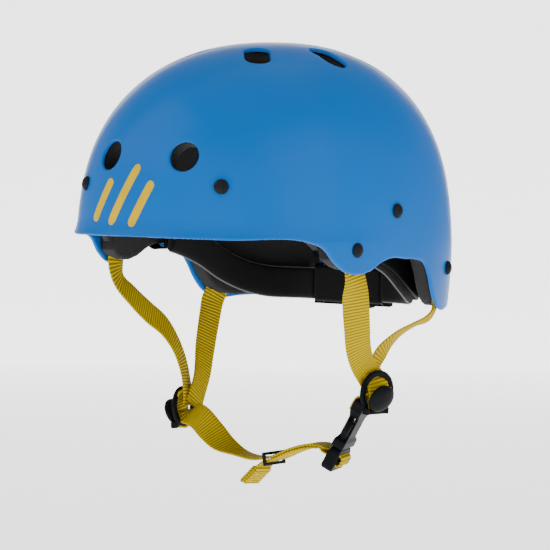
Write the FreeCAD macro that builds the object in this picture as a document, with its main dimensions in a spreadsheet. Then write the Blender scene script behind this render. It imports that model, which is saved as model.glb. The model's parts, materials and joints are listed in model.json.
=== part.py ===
import FreeCAD, Part
import math
import os
import Sketcher
from FreeCAD import Placement, Rotation, Vector

# Water sports helmet: a vented hard shell with ear cut-outs, a foam liner, a nape cradle
# with a dial, and a webbing harness closed by a side-release buckle.
# Frame: millimetres, +X to the wearer's left, +Y to the back of the head, +Z up.
# The origin is the centre of the head cavity, level with the widest part of the shell.

doc = FreeCAD.newDocument("water_helmet")
sheet = doc.addObject("Spreadsheet::Sheet", "Dims")

DIMENSIONS = [
    ("half_width", 112.0, "shell, side to side, from the centre"),
    ("front_reach", 153.2, "shell, centre to brow"),
    ("rear_reach", 126.3, "shell, centre to back"),
    ("crown_height", 137.8, "shell, widest level to crown"),
    ("crown_power", 2.288, "roundness of the side outline"),
    ("side_power", 2.724, "how upright the walls are"),
    ("plan_power", 2.518, "squareness of the plan at the widest level"),
    ("skirt_draw", 0.087, "how far the skirt draws in below the widest level"),
    ("skirt_floor", -75.0, "level that the shell blank is made to"),
    ("shell_wall", 3.0, "ABS wall"),
    ("fit_gap", 0.3, "gap between layers"),
    ("foam_depth", 15.0, "outside of the shell to the inside of the liner"),
    ("pad_depth", 21.0, "outside of the shell to the inside of a comfort pad"),
    ("crown_split", 78.0, "level where the crown liner starts"),
    ("liner_gap", 0.6, "half gap between liner pieces"),
    ("vent_diameter", 20.5, "round vents front and rear"),
    ("oval_length", 31.0, "crown vents along the radius"),
    ("oval_width", 17.5, "crown vents across the radius"),
    ("rivet_head", 10.0, "rivet head diameter"),
    ("rivet_rise", 3.0, "rivet head height"),
    ("rivet_shank", 4.0, "rivet shank diameter"),
    ("rivet_hole", 4.4, "rivet hole diameter"),
    ("washer_diameter", 9.0, "washer outside diameter"),
    ("washer_thick", 1.0, "washer thickness"),
    ("web_width", 19.0, "harness webbing width"),
    ("web_thick", 1.5, "harness webbing thickness"),
    ("ring_diameter", 31.0, "strap divider outside diameter"),
    ("ring_band", 4.4, "strap divider band width"),
    ("ring_thick", 3.0, "strap divider thickness"),
    ("lever_diameter", 20.0, "divider lever disc"),
    ("lever_thick", 2.6, "divider lever thickness"),
    ("buckle_width", 27.0, "buckle socket width"),
    ("buckle_thick", 8.6, "buckle socket thickness"),
    ("bay_width", 22.4, "width of the bay the plug enters"),
    ("bay_height", 5.2, "height of the bay the plug enters"),
    ("arm_thick", 4.4, "release arm thickness"),
    ("arm_width", 5.2, "release arm width"),
    ("guide_width", 4.4, "plug centre guide width"),
    ("guide_thick", 3.6, "plug centre guide thickness"),
    ("keeper_wire", 2.2, "rubber keeper section"),
    ("dial_diameter", 37.0, "adjuster knob"),
    ("dial_thick", 8.5, "adjuster knob thickness"),
    ("gear_module", 0.8, "pinion and racks"),
    ("band_thick", 2.0, "cradle band thickness"),
    ("rack_height", 7.0, "toothed band height"),
]
for row, (alias, value, note) in enumerate(DIMENSIONS, start=1):
    sheet.set(f"A{row}", alias)
    sheet.set(f"B{row}", str(value))
    sheet.set(f"C{row}", note)
    sheet.setAlias(f"B{row}", alias)
doc.recompute()


def dim(alias):
    return float(sheet.get(alias))


UP = Vector(0, 0, 1)
REAR = Vector(0, 1, 0)
LEFT = Vector(1, 0, 0)
SIDES = {"left": 1, "right": -1}


def frame(origin, along, across):
    """Placement with local X along, local Y as near as possible to across."""
    x_axis = Vector(along).normalize()
    z_axis = x_axis.cross(Vector(across)).normalize()
    return Placement(origin, Rotation(x_axis, z_axis.cross(x_axis), z_axis, "XYZ"))


# ---------------------------------------------------------------- sub-part helpers

sub_parts = []


def shaped(name, shape, place=None):
    """A sub-part whose shape is made from curves and surfaces."""
    part = doc.addObject("Part::Feature", name)
    part.Label = name
    part.Shape = shape
    if place is not None:
        part.Placement = place
    sub_parts.append(part)
    return part


def new_body(name, keep=True):
    body = doc.addObject("PartDesign::Body", name)
    body.Label = name
    if keep:
        sub_parts.append(body)
    return body


def new_sketch(body, name, role, lift=0.0):
    sketch = body.newObject("Sketcher::SketchObject", name)
    plane = next(item for item in body.Origin.OriginFeatures if item.Role == role)
    sketch.AttachmentSupport = [(plane, "")]
    sketch.MapMode = "FlatFace"
    sketch.AttachmentOffset = Placement(Vector(0, 0, lift), Rotation())
    return sketch


def outline(sketch, corners):
    """A closed outline of straight lines through the corners."""
    for start, end in zip(corners, corners[1:] + corners[:1]):
        line = Part.LineSegment(Vector(*start, 0), Vector(*end, 0))
        sketch.addGeometry(line)


def rectangle(sketch, low, high, sizes=None):
    """A rectangle; sizes binds its width and height to the sheet about its centre."""
    (x0, y0), (x1, y1) = low, high
    first = sketch.GeometryCount
    outline(sketch, [(x0, y0), (x1, y0), (x1, y1), (x0, y1)])
    for k in range(4):
        after = first + (k + 1) % 4
        sketch.addConstraint(Sketcher.Constraint("Coincident", first + k, 2, after, 1))
    for k, kind in enumerate(("Horizontal", "Vertical", "Horizontal", "Vertical")):
        sketch.addConstraint(Sketcher.Constraint(kind, first + k))
    if sizes:
        wide, tall = sizes
        centre = Sketcher.Constraint("Symmetric", first, 1, first + 1, 2, -1, 1)
        sketch.addConstraint(centre)
        across = sketch.addConstraint(Sketcher.Constraint("DistanceX", first, 1, first, 2, x1 - x0))
        sketch.setExpression(f"Constraints[{across}]", wide)
        upward = sketch.addConstraint(
            Sketcher.Constraint("DistanceY", first + 1, 1, first + 1, 2, y1 - y0))
        sketch.setExpression(f"Constraints[{upward}]", tall)


def circle(sketch, centre, diameter, formula=None):
    index = sketch.addGeometry(Part.Circle(Vector(*centre, 0), Vector(0, 0, 1), diameter / 2))
    if formula:
        size = sketch.addConstraint(Sketcher.Constraint("Diameter", index, diameter))
        sketch.setExpression(f"Constraints[{size}]", formula)
    return index


def pad(body, sketch, length, formula=None, middle=False, reverse=False):
    feature = body.newObject("PartDesign::Pad", sketch.Name + "_pad")
    feature.Profile = sketch
    feature.Length = length
    feature.Midplane = middle
    feature.Reversed = reverse
    if formula:
        feature.setExpression("Length", formula)
    return feature


def pocket(body, sketch, length, middle=True, reverse=False):
    """A pocket; its volume is compared so that one that cuts nothing is an error."""
    doc.recompute()
    before = body.Shape.Volume
    feature = body.newObject("PartDesign::Pocket", sketch.Name + "_pocket")
    feature.Profile = sketch
    feature.Length = length
    feature.Midplane = middle
    feature.Reversed = reverse
    doc.recompute()
    if body.Shape.Volume >= before - 1e-3:
        raise RuntimeError(sketch.Name + " cuts nothing")
    return feature


def revolve(body, sketch):
    feature = body.newObject("PartDesign::Revolution", sketch.Name + "_turn")
    feature.Profile = sketch
    feature.ReferenceAxis = (sketch, ["V_Axis"])
    feature.Angle = 360
    return feature


# ---------------------------------------------------------------- the helmet's surface

HALF_TURN_STEPS = 20
RISE_STEPS = 14


def crown_ratio(z):
    return min(1.0, max(0.0, z / dim("crown_height")))


def level_scale(z, inset):
    """Size of the plan at a level, as a share of the plan at the widest level."""
    if z < 0:
        return 1 - dim("skirt_draw") * (z / 100) ** 2
    height = dim("crown_height") - inset
    share = min(1.0, z / height)
    return (1 - share ** dim("side_power")) ** (1 / dim("crown_power"))


def shell_point(azimuth, z, inset=0.0):
    """A point of the surface; azimuth in degrees from the brow towards the left."""
    turn = math.radians(azimuth)
    forward, side = math.cos(turn), math.sin(turn)
    reach = dim("front_reach") if forward >= 0 else dim("rear_reach")
    power = 2 + (dim("plan_power") - 2) * (1 - crown_ratio(z))
    plan = (abs(forward) / (reach - inset)) ** power
    plan += (abs(side) / (dim("half_width") - inset)) ** power
    radius = plan ** (-1 / power) * level_scale(z, inset)
    return Vector(radius * side, -radius * forward, z)


def shell_normal(azimuth, z):
    step = 0.5
    around = shell_point(azimuth + step, z) - shell_point(azimuth - step, z)
    upward = shell_point(azimuth, z + step) - shell_point(azimuth, z - step)
    return around.cross(upward).normalize()


def wall_azimuth(y, z):
    """Azimuth of the left wall's point at a given y and z."""
    low, high = 0.0, 180.0
    for _ in range(40):
        middle = (low + high) / 2
        if shell_point(middle, z).y < y:
            low = middle
        else:
            high = middle
    return low


def wall_point(side, y, z, inset):
    """The point of the side wall at a given y and z, moved in by inset."""
    azimuth = wall_azimuth(y, z)
    point = shell_point(azimuth, z) - shell_normal(azimuth, z) * inset
    return Vector(side * point.x, point.y, point.z)


def wall_run(side, y, z):
    """Level direction along the side wall, towards the back."""
    across = UP.cross(shell_normal(wall_azimuth(y, z), z)).normalize()
    return side * across.x, across.y, 0


def dome(inset):
    """Solid bounded by the shell's surface moved in by inset, down to the skirt floor."""
    height = dim("crown_height") - inset
    floor = dim("skirt_floor") - inset / 2
    levels = [floor, floor * 2 / 3, floor / 3]
    for step in range(RISE_STEPS + 1):
        levels.append(height * math.sin(math.pi / 2 * step / RISE_STEPS) ** (2 / dim("side_power")))
    rows = []
    for z in levels:
        rows.append([shell_point(180 * k / HALF_TURN_STEPS, z, inset)
                     for k in range(HALF_TURN_STEPS + 1)])
    rows[-1] = [Vector(0, 0, height)] * (HALF_TURN_STEPS + 1)
    surface = Part.BSplineSurface()
    surface.interpolate(rows)
    left_half = surface.toShape()
    right_half = left_half.mirror(Vector(0, 0, 0), LEFT)
    rim = []
    for half in (left_half, right_half):
        rim += [edge for edge in half.Edges if abs(edge.BoundBox.ZMax - floor) < 0.01]
    base = Part.Face(Part.Wire(Part.__sortEdges__(rim)))
    skin = Part.Shell([left_half, right_half, base])
    skin.sewShape()
    solid = Part.Solid(skin)
    if solid.Volume < 0:
        solid.reverse()
    return solid


def rim_cutter(lift):
    """Everything below the rim line, which is one outline seen from the side."""
    def smooth(points):
        curve = Part.BSplineCurve()
        curve.interpolate([Vector(0, y, z + lift) for y, z in points])
        return curve.toShape()

    # Brow, temple lobe, ear cut-out and rear lobe, as (y, z)
    front_end, brow_end = (-190, 4.9), (-92, 1.1)
    temple = [brow_end, (-82, -2.6), (-72, -12.5), (-61, -19.3), (-50, -21.0),
              (-38, -18.9), (-25, -13.0), (-13, -10.4)]
    ear_end, back_end = (16, -12.4), (160, -43.9)
    rear_lobe = [ear_end, (26, -15.0), (33, -23.4), (39.5, -34.8), (47, -43.8),
                 (61, -49.6), (77, -48.5)]
    below = -120
    corners = [(160, below), (-190, below)]
    runs = [[front_end, brow_end], [temple[-1], ear_end], [rear_lobe[-1], back_end],
            [back_end, corners[0]], corners, [corners[1], front_end]]
    edges = [smooth(temple), smooth(rear_lobe)]
    for start, end in runs:
        level_start = lift if start not in corners else 0
        level_end = lift if end not in corners else 0
        edges.append(Part.LineSegment(Vector(0, start[0], start[1] + level_start),
                                      Vector(0, end[0], end[1] + level_end)).toShape())
    face = Part.Face(Part.Wire(Part.__sortEdges__(edges)))
    face.translate(Vector(-200, 0, 0))
    return face.extrude(Vector(400, 0, 0))


def nape_arch(radius):
    """Raised arch at the back, which leaves room for a hand at the adjuster dial."""
    arch_centre = Vector(0, 60, -84)
    return Part.makeCylinder(radius, 110, arch_centre, REAR)


def local_axes(azimuth, z):
    point, outward = shell_point(azimuth, z), shell_normal(azimuth, z)
    return point, outward


def round_vent(azimuth, z, diameter):
    point, outward = local_axes(azimuth, z)
    reach_in = 32
    return Part.makeCylinder(diameter / 2, reach_in + 12, point - outward * reach_in, outward)


def oval_vent(azimuth, grow):
    """Crown vent: a rounded slot whose length points at the crown."""
    point, outward = local_axes(azimuth, OVAL_LEVEL)
    half_run = (dim("oval_length") - dim("oval_width")) / 2
    radius = dim("oval_width") / 2 + grow
    place = frame(point - outward * 34, UP.cross(outward).cross(outward), UP.cross(outward))
    depth = 46
    ends = [Part.makeCylinder(radius, depth, Vector(s * half_run, 0, 0)) for s in (-1, 1)]
    block = Part.makeBox(2 * half_run, 2 * radius, depth, Vector(-half_run, -radius, 0))
    slot = ends[0].fuse(ends[1]).fuse(block).removeSplitter()
    if place.Rotation.multVec(UP).dot(outward) < 0:
        slot.translate(Vector(0, 0, -depth))
    slot.Placement = place.multiply(slot.Placement)
    return slot


OVAL_LEVEL = 127.5
OVAL_AZIMUTHS = [k * 360 / 7 + 180 / 7 for k in range(7)]
ROUND_VENTS = [(12.6, 58.0), (-12.6, 58.0), (165.0, 58.0), (-165.0, 58.0)]
# Fasteners as azimuth and height: four for the harness, two for the liner, two for the cradle
TEMPLE_RIVET = (64.4, -4.2)
LOBE_RIVET = (122.6, -19.8)
FRONT_RIVET = (23.4, 38.0)
SIDE_RIVET = (85.0, 21.8)


def both_sides(spot):
    return [spot, (-spot[0], spot[1])]


STRAP_RIVETS = both_sides(TEMPLE_RIVET) + both_sides(LOBE_RIVET)
SHELL_RIVETS = both_sides(FRONT_RIVET) + both_sides(SIDE_RIVET)


def cut_all(shape, tools):
    return shape.cut(tools).removeSplitter() if tools else shape


def vents(grow):
    cutters = [round_vent(azimuth, z, dim("vent_diameter") + 2 * grow)
               for azimuth, z in ROUND_VENTS]
    return cutters + [oval_vent(azimuth, grow) for azimuth in OVAL_AZIMUTHS]


def block(low, high):
    size = [b - a for a, b in zip(low, high)]
    return Part.makeBox(*size, Vector(*low))


# ---------------------------------------------------------------- shell

outer_dome = dome(0)
wall = dim("shell_wall")
rivet_holes = []
for azimuth, z in STRAP_RIVETS + SHELL_RIVETS:
    point, outward = local_axes(azimuth, z)
    rivet_holes.append(Part.makeCylinder(dim("rivet_hole") / 2, 16, point - outward * 9, outward))
shell = outer_dome.cut(dome(wall)).cut(rim_cutter(0)).cut(nape_arch(60))
shell = cut_all(shell, vents(0) + rivet_holes)
shaped("outer_shell", shell)

# ---------------------------------------------------------------- rivets and washers

rivet = new_body("rivet_master", keep=False)
profile = new_sketch(rivet, "rivet_profile", "XZ_Plane")
head_radius, rise = dim("rivet_head") / 2, dim("rivet_rise")
shank_radius = dim("rivet_shank") / 2
crown = Part.Arc(Vector(head_radius, 0.8, 0), Vector(head_radius * 0.74, rise * 0.72, 0),
                 Vector(1.2, rise, 0))
profile.addGeometry(crown)
for start, end in (((1.2, rise), (0, rise)), ((0, rise), (0, -8)), ((0, -8), (shank_radius, -8)),
                   ((shank_radius, -8), (shank_radius, 0)),
                   ((shank_radius, 0), (head_radius, 0)), ((head_radius, 0), (head_radius, 0.8))):
    profile.addGeometry(Part.LineSegment(Vector(*start, 0), Vector(*end, 0)))
revolve(rivet, profile)

washer = new_body("washer_master", keep=False)
ring = new_sketch(washer, "washer_ring", "XY_Plane")
circle(ring, (0, 0), dim("washer_diameter"), "Dims.washer_diameter")
circle(ring, (0, 0), dim("rivet_hole"), "Dims.rivet_hole")
pad(washer, ring, dim("washer_thick"), "Dims.washer_thick")
doc.recompute()


def on_shell(master, spots, inset):
    """Copies of a small turned part, each along the shell's normal at its spot."""
    copies = []
    for azimuth, z in spots:
        point, outward = local_axes(azimuth, z)
        copy = master.Shape.copy()
        copy.Placement = Placement(point - outward * inset, Rotation(UP, outward))
        copies.append(copy)
    return Part.makeCompound(copies)


HEAD_GAP = 0.35
STRAP_STACK = 6.6
shaped("strap_rivets", on_shell(rivet, STRAP_RIVETS, -HEAD_GAP))
shaped("shell_rivets", on_shell(rivet, SHELL_RIVETS, -HEAD_GAP))
washer_shapes = [on_shell(washer, STRAP_RIVETS, STRAP_STACK + dim("washer_thick")),
                 on_shell(washer, SHELL_RIVETS, STRAP_STACK)]
shaped("rivet_washers", Part.makeCompound([item for group in washer_shapes
                                           for item in group.Solids]))

# ---------------------------------------------------------------- harness webbing


def ribbon(route, width=None, thick=None):
    """Flat webbing through a route of (point, width direction) stations."""
    half_width = (width or dim("web_width")) / 2
    half_thick = (thick or dim("web_thick")) / 2
    stations = [(Vector(*point), Vector(*across)) for point, across in route]
    sections = []
    for k, (point, across) in enumerate(stations):
        before = stations[max(k - 1, 0)][0]
        after = stations[min(k + 1, len(stations) - 1)][0]
        run = (after - before).normalize()
        across = (across - run * across.dot(run)).normalize()
        normal = run.cross(across)
        corners = [point + across * (half_width * a) + normal * (half_thick * b)
                   for a, b in ((-1, -1), (1, -1), (1, 1), (-1, 1))]
        sections.append(Part.makePolygon(corners + corners[:1]))
    return Part.makeLoft(sections, True, True)


WEB_INSET = 5.0


def wall_route(side, stations):
    """Stations that lie against the inside of the shell's wall, as (y, z)."""
    return [(tuple(wall_point(side, y, z, WEB_INSET)), wall_run(side, y, z))
            for y, z in stations]


def webbing(name, route, holes=()):
    solid = ribbon(route)
    for azimuth, z in holes:
        point, outward = local_axes(azimuth, z)
        solid = solid.cut(Part.makeCylinder(dim("rivet_hole") / 2, 24,
                                            point - outward * 12, outward))
    shaped(name, solid)


LEFT_FRONT = wall_route(1, [(-53, 8), (-50.5, -10), (-47.5, -24)]) + [
    ((101.5, -42.5, -38), (0.5, 0.83, 0.2)), ((97.3, -34.5, -58), (0.57, 0.78, 0.24)),
    ((93.2, -27, -72), (0.5, 0.7, 0.4)), ((89.3, -17, -83), (0.4, 0.65, 0.6)),
    ((86.6, -6, -92), (0.3, 0.6, 0.7)), ((85.5, 0.1, -98.1), (0.2, 0.7, 0.65))]
LEFT_REAR = wall_route(1, [(67, -10), (64.5, -26), (60.5, -42)]) + [
    ((97.2, 55.5, -51), (-0.45, 0.75, -0.5)), ((95.5, 45, -56.5), (-0.74, 0.42, -0.52)),
    ((93, 31, -62), (-0.68, 0.42, -0.6)), ((90, 18, -69), (-0.45, 0.62, -0.64)),
    ((86.4, 9.5, -78), (-0.28, 0.84, -0.46)), ((83, 5.5, -88), (-0.22, 0.95, -0.2)),
    ((81.2, 4.5, -98), (-0.2, 0.97, 0))]
# The right legs bend on one line, so each is a short top and a long lower part
RIGHT_FRONT_TOP = wall_route(-1, [(-52, 8), (-53, -10), (-54.5, -22)]) + [
    ((-102.9, -51.5, -31), (-0.3, 0.9, 0.2))]
RIGHT_FRONT = [
    ((-100.3, -36.7, -46), (-0.35, 0.6, 0.7)), ((-98.5, -22.5, -57), (-0.3, 0.6, 0.7)),
    ((-96.2, -7.5, -67.5), (-0.35, 0.65, 0.65)), ((-93.4, 2.5, -81), (-0.4, 0.8, 0.4)),
    ((-90.5, 7.5, -95), (-0.4, 0.9, 0.15)), ((-87.6, 8.5, -108), (-0.4, 0.9, 0)),
    ((-85.6, 8, -118), (-0.35, 0.9, 0))]
RIGHT_REAR_TOP = wall_route(-1, [(66.5, -10), (63, -28), (58.2, -44)]) + [
    ((-99.6, 53, -51.5), (0.35, 0.9, -0.3))]
RIGHT_REAR = [
    ((-98.8, 49.5, -60.5), (0.3, 0.9, -0.3)), ((-96.5, 43.5, -73), (0.25, 0.9, -0.35)),
    ((-93, 36, -88), (0.2, 0.85, -0.45)), ((-88.5, 28.5, -101), (0.1, 0.8, -0.55)),
    ((-84.4, 20, -112), (0, 0.75, -0.65)), ((-82.4, 14, -119.5), (0, 0.75, -0.6))]
webbing("left_front_strap", LEFT_FRONT, [TEMPLE_RIVET])
webbing("left_rear_strap", LEFT_REAR, [LOBE_RIVET])
webbing("right_front_strap_top", RIGHT_FRONT_TOP, [(-TEMPLE_RIVET[0], TEMPLE_RIVET[1])])
webbing("right_rear_strap_top", RIGHT_REAR_TOP, [(-LOBE_RIVET[0], LOBE_RIVET[1])])
webbing("right_front_strap", RIGHT_FRONT)
webbing("right_rear_strap", RIGHT_REAR)

# ---------------------------------------------------------------- foam liner

LINER_LIFT = 3.0
liner_ring = dome(wall + dim("fit_gap")).cut(dome(dim("foam_depth")))
liner_ring = liner_ring.cut(rim_cutter(LINER_LIFT))
pockets = vents(0.8)
for azimuth, z in SHELL_RIVETS + STRAP_RIVETS:
    point, outward = local_axes(azimuth, z)
    pockets.append(Part.makeCylinder(7, 16, point - outward * 8, outward))
for route in (LEFT_FRONT[:5], LEFT_REAR[:4], RIGHT_FRONT_TOP, RIGHT_REAR_TOP):
    start, across = route[0]
    raised = (start[0], start[1], start[2] + 3)
    channel = [(raised, across)] + route[1:]
    pockets.append(ribbon(channel, dim("web_width") + 2.4, 4.8))
for azimuth, z in both_sides(SIDE_RIVET):
    point, outward = local_axes(azimuth, z)
    channel = Part.makeBox(14, 46, 20, Vector(-7, -36, -7.4))
    channel.Placement = frame(point, outward.cross(UP) * -1, UP)
    pockets.append(channel)
liner_ring = cut_all(liner_ring, pockets)
gap = dim("liner_gap")
split = dim("crown_split")
front_line, rear_line, lobe_line = -72, 25, 46
far = 220
sectors = {
    "crown_liner": block((-far, -far, split + gap), (far, far, far)),
    "front_liner": block((-far, -far, -far), (far, front_line - gap, split - gap)),
    "rear_liner": block((-lobe_line + gap, rear_line + gap, -14),
                        (lobe_line - gap, far, split - gap)),
}
for name, side in SIDES.items():
    inner, outer = sorted((side * 5, side * far))
    lobe_inner, lobe_outer = sorted((side * (lobe_line + gap), side * far))
    sectors[name + "_side_liner"] = block((inner, front_line + gap, -far),
                                          (outer, rear_line - gap, split - gap))
    sectors[name + "_rear_liner"] = block((lobe_inner, rear_line + gap, -far),
                                          (lobe_outer, far, split - gap))
for name, sector in sectors.items():
    piece = liner_ring.common(sector)
    shaped(name, max(piece.Solids, key=lambda solid: solid.Volume))

# ---------------------------------------------------------------- comfort pads

pad_layer = dome(dim("foam_depth") + dim("fit_gap")).cut(dome(dim("pad_depth")))
pad_zones = {
    "brow_pad": block((-78, -far, 10), (78, -84, 40)),
    "rear_pad": block((-34, 60, 0), (34, far, 40)),
    "left_side_pad": block((20, -58, 4), (far, 14, 34)),
    "right_side_pad": block((-far, -58, 4), (-20, 14, 34)),
}
for name, zone in pad_zones.items():
    shaped(name, pad_layer.common(zone))
crown_zone = Part.makeCylinder(36, far, Vector(0, -6, 60))
shaped("crown_pad", pad_layer.common(crown_zone))

# ---------------------------------------------------------------- strap dividers

# Each divider is a flat ring with a disc lever hinged on its lowest bar
DIVIDER_CENTRES = {"left": Vector(90.3, -0.6, -104.5), "right": Vector(-88.8, 7, -127.5)}
RING_NORMAL = Vector(0.97, -0.18, -0.1)
LEVER_RISE = Vector(0.42, 0, 0.91)
LEVER_SHIFT = 2.0


def divider(name, side):
    centre = DIVIDER_CENTRES[name]
    normal = Vector(side * RING_NORMAL.x, RING_NORMAL.y, RING_NORMAL.z).normalize()
    across = UP.cross(normal).normalize()
    upward = normal.cross(across)
    body = new_body(name + "_divider")
    ring_sketch = new_sketch(body, name + "_ring", "XY_Plane")
    circle(ring_sketch, (0, 0), dim("ring_diameter"), "Dims.ring_diameter")
    circle(ring_sketch, (0, 0), dim("ring_diameter") - 2 * dim("ring_band"),
           "Dims.ring_diameter - 2 * Dims.ring_band")
    pad(body, ring_sketch, dim("ring_thick"), "Dims.ring_thick", middle=True)
    shift = -side * LEVER_SHIFT
    ears = new_sketch(body, name + "_ears", "XY_Plane")
    drop = -dim("ring_diameter") / 2 + dim("ring_band") / 2
    for s in (-1, 1):
        low, high = sorted((s * 7.6, s * 10.4))
        rectangle(ears, (low + shift, drop - 1.4), (high + shift, drop + 3.2))
    pad(body, ears, 5.2)
    body.Placement = Placement(centre, Rotation(across, upward, normal, "XYZ"))

    # The disc lever: its barrel lies between the ears, and the disc rises from it
    hinge = centre + upward * drop + normal * 3.3 + across * shift
    rise = Vector(side * LEVER_RISE.x, LEVER_RISE.y, LEVER_RISE.z)
    rise = (rise - across * rise.dot(across)).normalize()
    face = across.cross(rise)
    lever = new_body(name + "_divider_lever")
    barrel = new_sketch(lever, name + "_barrel", "YZ_Plane")
    circle(barrel, (0, 0), 3.0)
    pad(lever, barrel, 14.6, middle=True)
    disc = new_sketch(lever, name + "_disc", "XY_Plane", 0.2)
    circle(disc, (0, 10.6), dim("lever_diameter"), "Dims.lever_diameter")
    pad(lever, disc, dim("lever_thick"), "Dims.lever_thick", middle=True)
    lever.Placement = Placement(hinge, Rotation(across, rise, face, "XYZ"))
    return hinge, across


divider_hinges = {name: divider(name, side) for name, side in SIDES.items()}

# ---------------------------------------------------------------- side-release buckle

# The right half of the harness swings down about one line through the right-hand legs.
# The buckle lies along that swing, so the plug leaves the socket along its own arc.
SWING_START = Vector(-101.0, -41.5, -42.0)
SWING_END = Vector(-99.2, 50.8, -56.0)
swing_axis = (SWING_END - SWING_START).normalize()
BUCKLE_CENTRE = Vector(69.7, -4.8, -134.5)
exit_way = swing_axis.cross(BUCKLE_CENTRE - SWING_START).normalize()
FACE_HINT = Vector(0.80, 0.26, -0.53)
face_out = (FACE_HINT - exit_way * FACE_HINT.dot(exit_way)).normalize()
side_way = face_out.cross(exit_way)
buckle_place = Placement(BUCKLE_CENTRE, Rotation(exit_way, side_way, face_out, "XYZ"))

# Buckle stations along the exit direction, measured from the middle of the release arms
SOCKET_TOP, MOUTH = -27.4, 10.0
BAY_END = -14.0
WINDOW = (-12.0, 2.0)
SOCKET_SLOT = (-24.4, -20.0)
PLUG_FRONT, PLUG_END = 10.4, 27.5
PLUG_SLOTS = ((14.2, 17.2), (20.2, 23.2))
ARM_HINGE = (7.0, 8.2)
ARM_TIP = -11.0

socket = new_body("buckle_socket")
half = dim("buckle_width") / 2
waist = half - 2.6
hull = new_sketch(socket, "socket_outline", "XY_Plane")
upper = [(SOCKET_TOP, half - 2.5), (SOCKET_TOP + 2, half), (SOCKET_SLOT[1] + 2, half),
         (WINDOW[0] + 2, waist), (WINDOW[1] - 3, waist), (WINDOW[1] + 2, half), (MOUTH, half)]
outline(hull, [(u, -v) for u, v in upper] + [(u, v) for u, v in reversed(upper)])
pad(socket, hull, dim("buckle_thick"), "Dims.buckle_thick", middle=True)
web_slot = new_sketch(socket, "socket_web_slot", "XY_Plane")
rectangle(web_slot, (SOCKET_SLOT[0], -10.2), (SOCKET_SLOT[1], 10.2))
pocket(socket, web_slot, 20)
bay = new_sketch(socket, "socket_bay", "XY_Plane")
bay_half = dim("bay_width") / 2
rectangle(bay, (BAY_END, -bay_half), (MOUTH + 1, bay_half))
pocket(socket, bay, dim("bay_height"))
windows = new_sketch(socket, "socket_windows", "XY_Plane")
for s in (-1, 1):
    low, high = sorted((s * 6.5, s * (half + 1)))
    rectangle(windows, (WINDOW[0], low), (WINDOW[1], high))
pocket(socket, windows, dim("bay_height"))
# A corner of the web bar is stepped down to clear the divider ring beside it
relief = new_sketch(socket, "socket_divider_relief", "XY_Plane", 5.2)
rectangle(relief, (SOCKET_TOP - 1, -half - 1), (-21.2, -5.5))
pocket(socket, relief, 10)
socket.Placement = buckle_place

plug = new_body("buckle_plug")
base = new_sketch(plug, "plug_base", "XY_Plane")
base_half = half - 0.6
outline(base, [(PLUG_FRONT, -base_half), (PLUG_END - 3, -base_half), (PLUG_END, -base_half + 3),
               (PLUG_END, base_half - 3), (PLUG_END - 3, base_half), (PLUG_FRONT, base_half)])
pad(plug, base, dim("buckle_thick") - 0.4, "Dims.buckle_thick - 0.4", middle=True)
slots = new_sketch(plug, "plug_slots", "XY_Plane")
for low, high in PLUG_SLOTS:
    rectangle(slots, (low, -10.2), (high, 10.2))
pocket(plug, slots, 20)
plug.Placement = buckle_place

plug_guide = new_body("plug_guide")
guide = new_sketch(plug_guide, "guide_section", "YZ_Plane", ARM_TIP + 1.5)
rectangle(guide, (-2.2, -1.8), (2.2, 1.8), ("Dims.guide_width", "Dims.guide_thick"))
pad(plug_guide, guide, PLUG_FRONT - ARM_TIP - 1.5)
plug_guide.Placement = buckle_place

for name, s in (("front", -1), ("rear", 1)):
    arm = new_body(name + "_release_arm")
    shape = new_sketch(arm, name + "_arm_outline", "XY_Plane")
    root = Vector(ARM_HINGE[0], s * ARM_HINGE[1], 0)
    root_radius = dim("arm_width") / 2
    outer, inner = root.y + s * root_radius, root.y - s * root_radius
    tip_outer = outer - s * 2.4
    shape.addGeometry(Part.Arc(Vector(root.x, outer, 0), Vector(root.x + root_radius, root.y, 0),
                               Vector(root.x, inner, 0)))
    edge = [(root.x, inner), (ARM_TIP + 1.5, inner), (ARM_TIP, inner + s * 1.5),
            (ARM_TIP, tip_outer), (ARM_TIP + 5, outer), (root.x, outer)]
    for start, end in zip(edge, edge[1:]):
        shape.addGeometry(Part.LineSegment(Vector(*start, 0), Vector(*end, 0)))
    pad(arm, shape, dim("arm_thick"), "Dims.arm_thick", middle=True)
    arm.Placement = buckle_place


def web_loop(name, low, high, depth, reach):
    """Webbing that wraps a bar: two legs through the slots and a face over the bar."""
    thick = dim("web_thick")
    outer = block((low, -dim("web_width") / 2, -reach), (high, dim("web_width") / 2, depth + thick))
    hollow = block((low + thick, -20, -reach - 1), (high - thick, 20, depth))
    shaped(name, outer.cut(hollow), buckle_place)


face_depth = dim("buckle_thick") / 2
web_loop("plug_webbing_loop", PLUG_SLOTS[0][0] + 1.0, PLUG_SLOTS[1][1] - 0.9,
         face_depth + 0.3, face_depth)

# Short web from the left divider to the socket's bar, and the chin strap from the right
# divider to the plug. Both end just behind the bars that they wrap.


def buckle_point(u, v, n):
    return tuple(buckle_place.multVec(Vector(u, v, n)))


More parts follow.
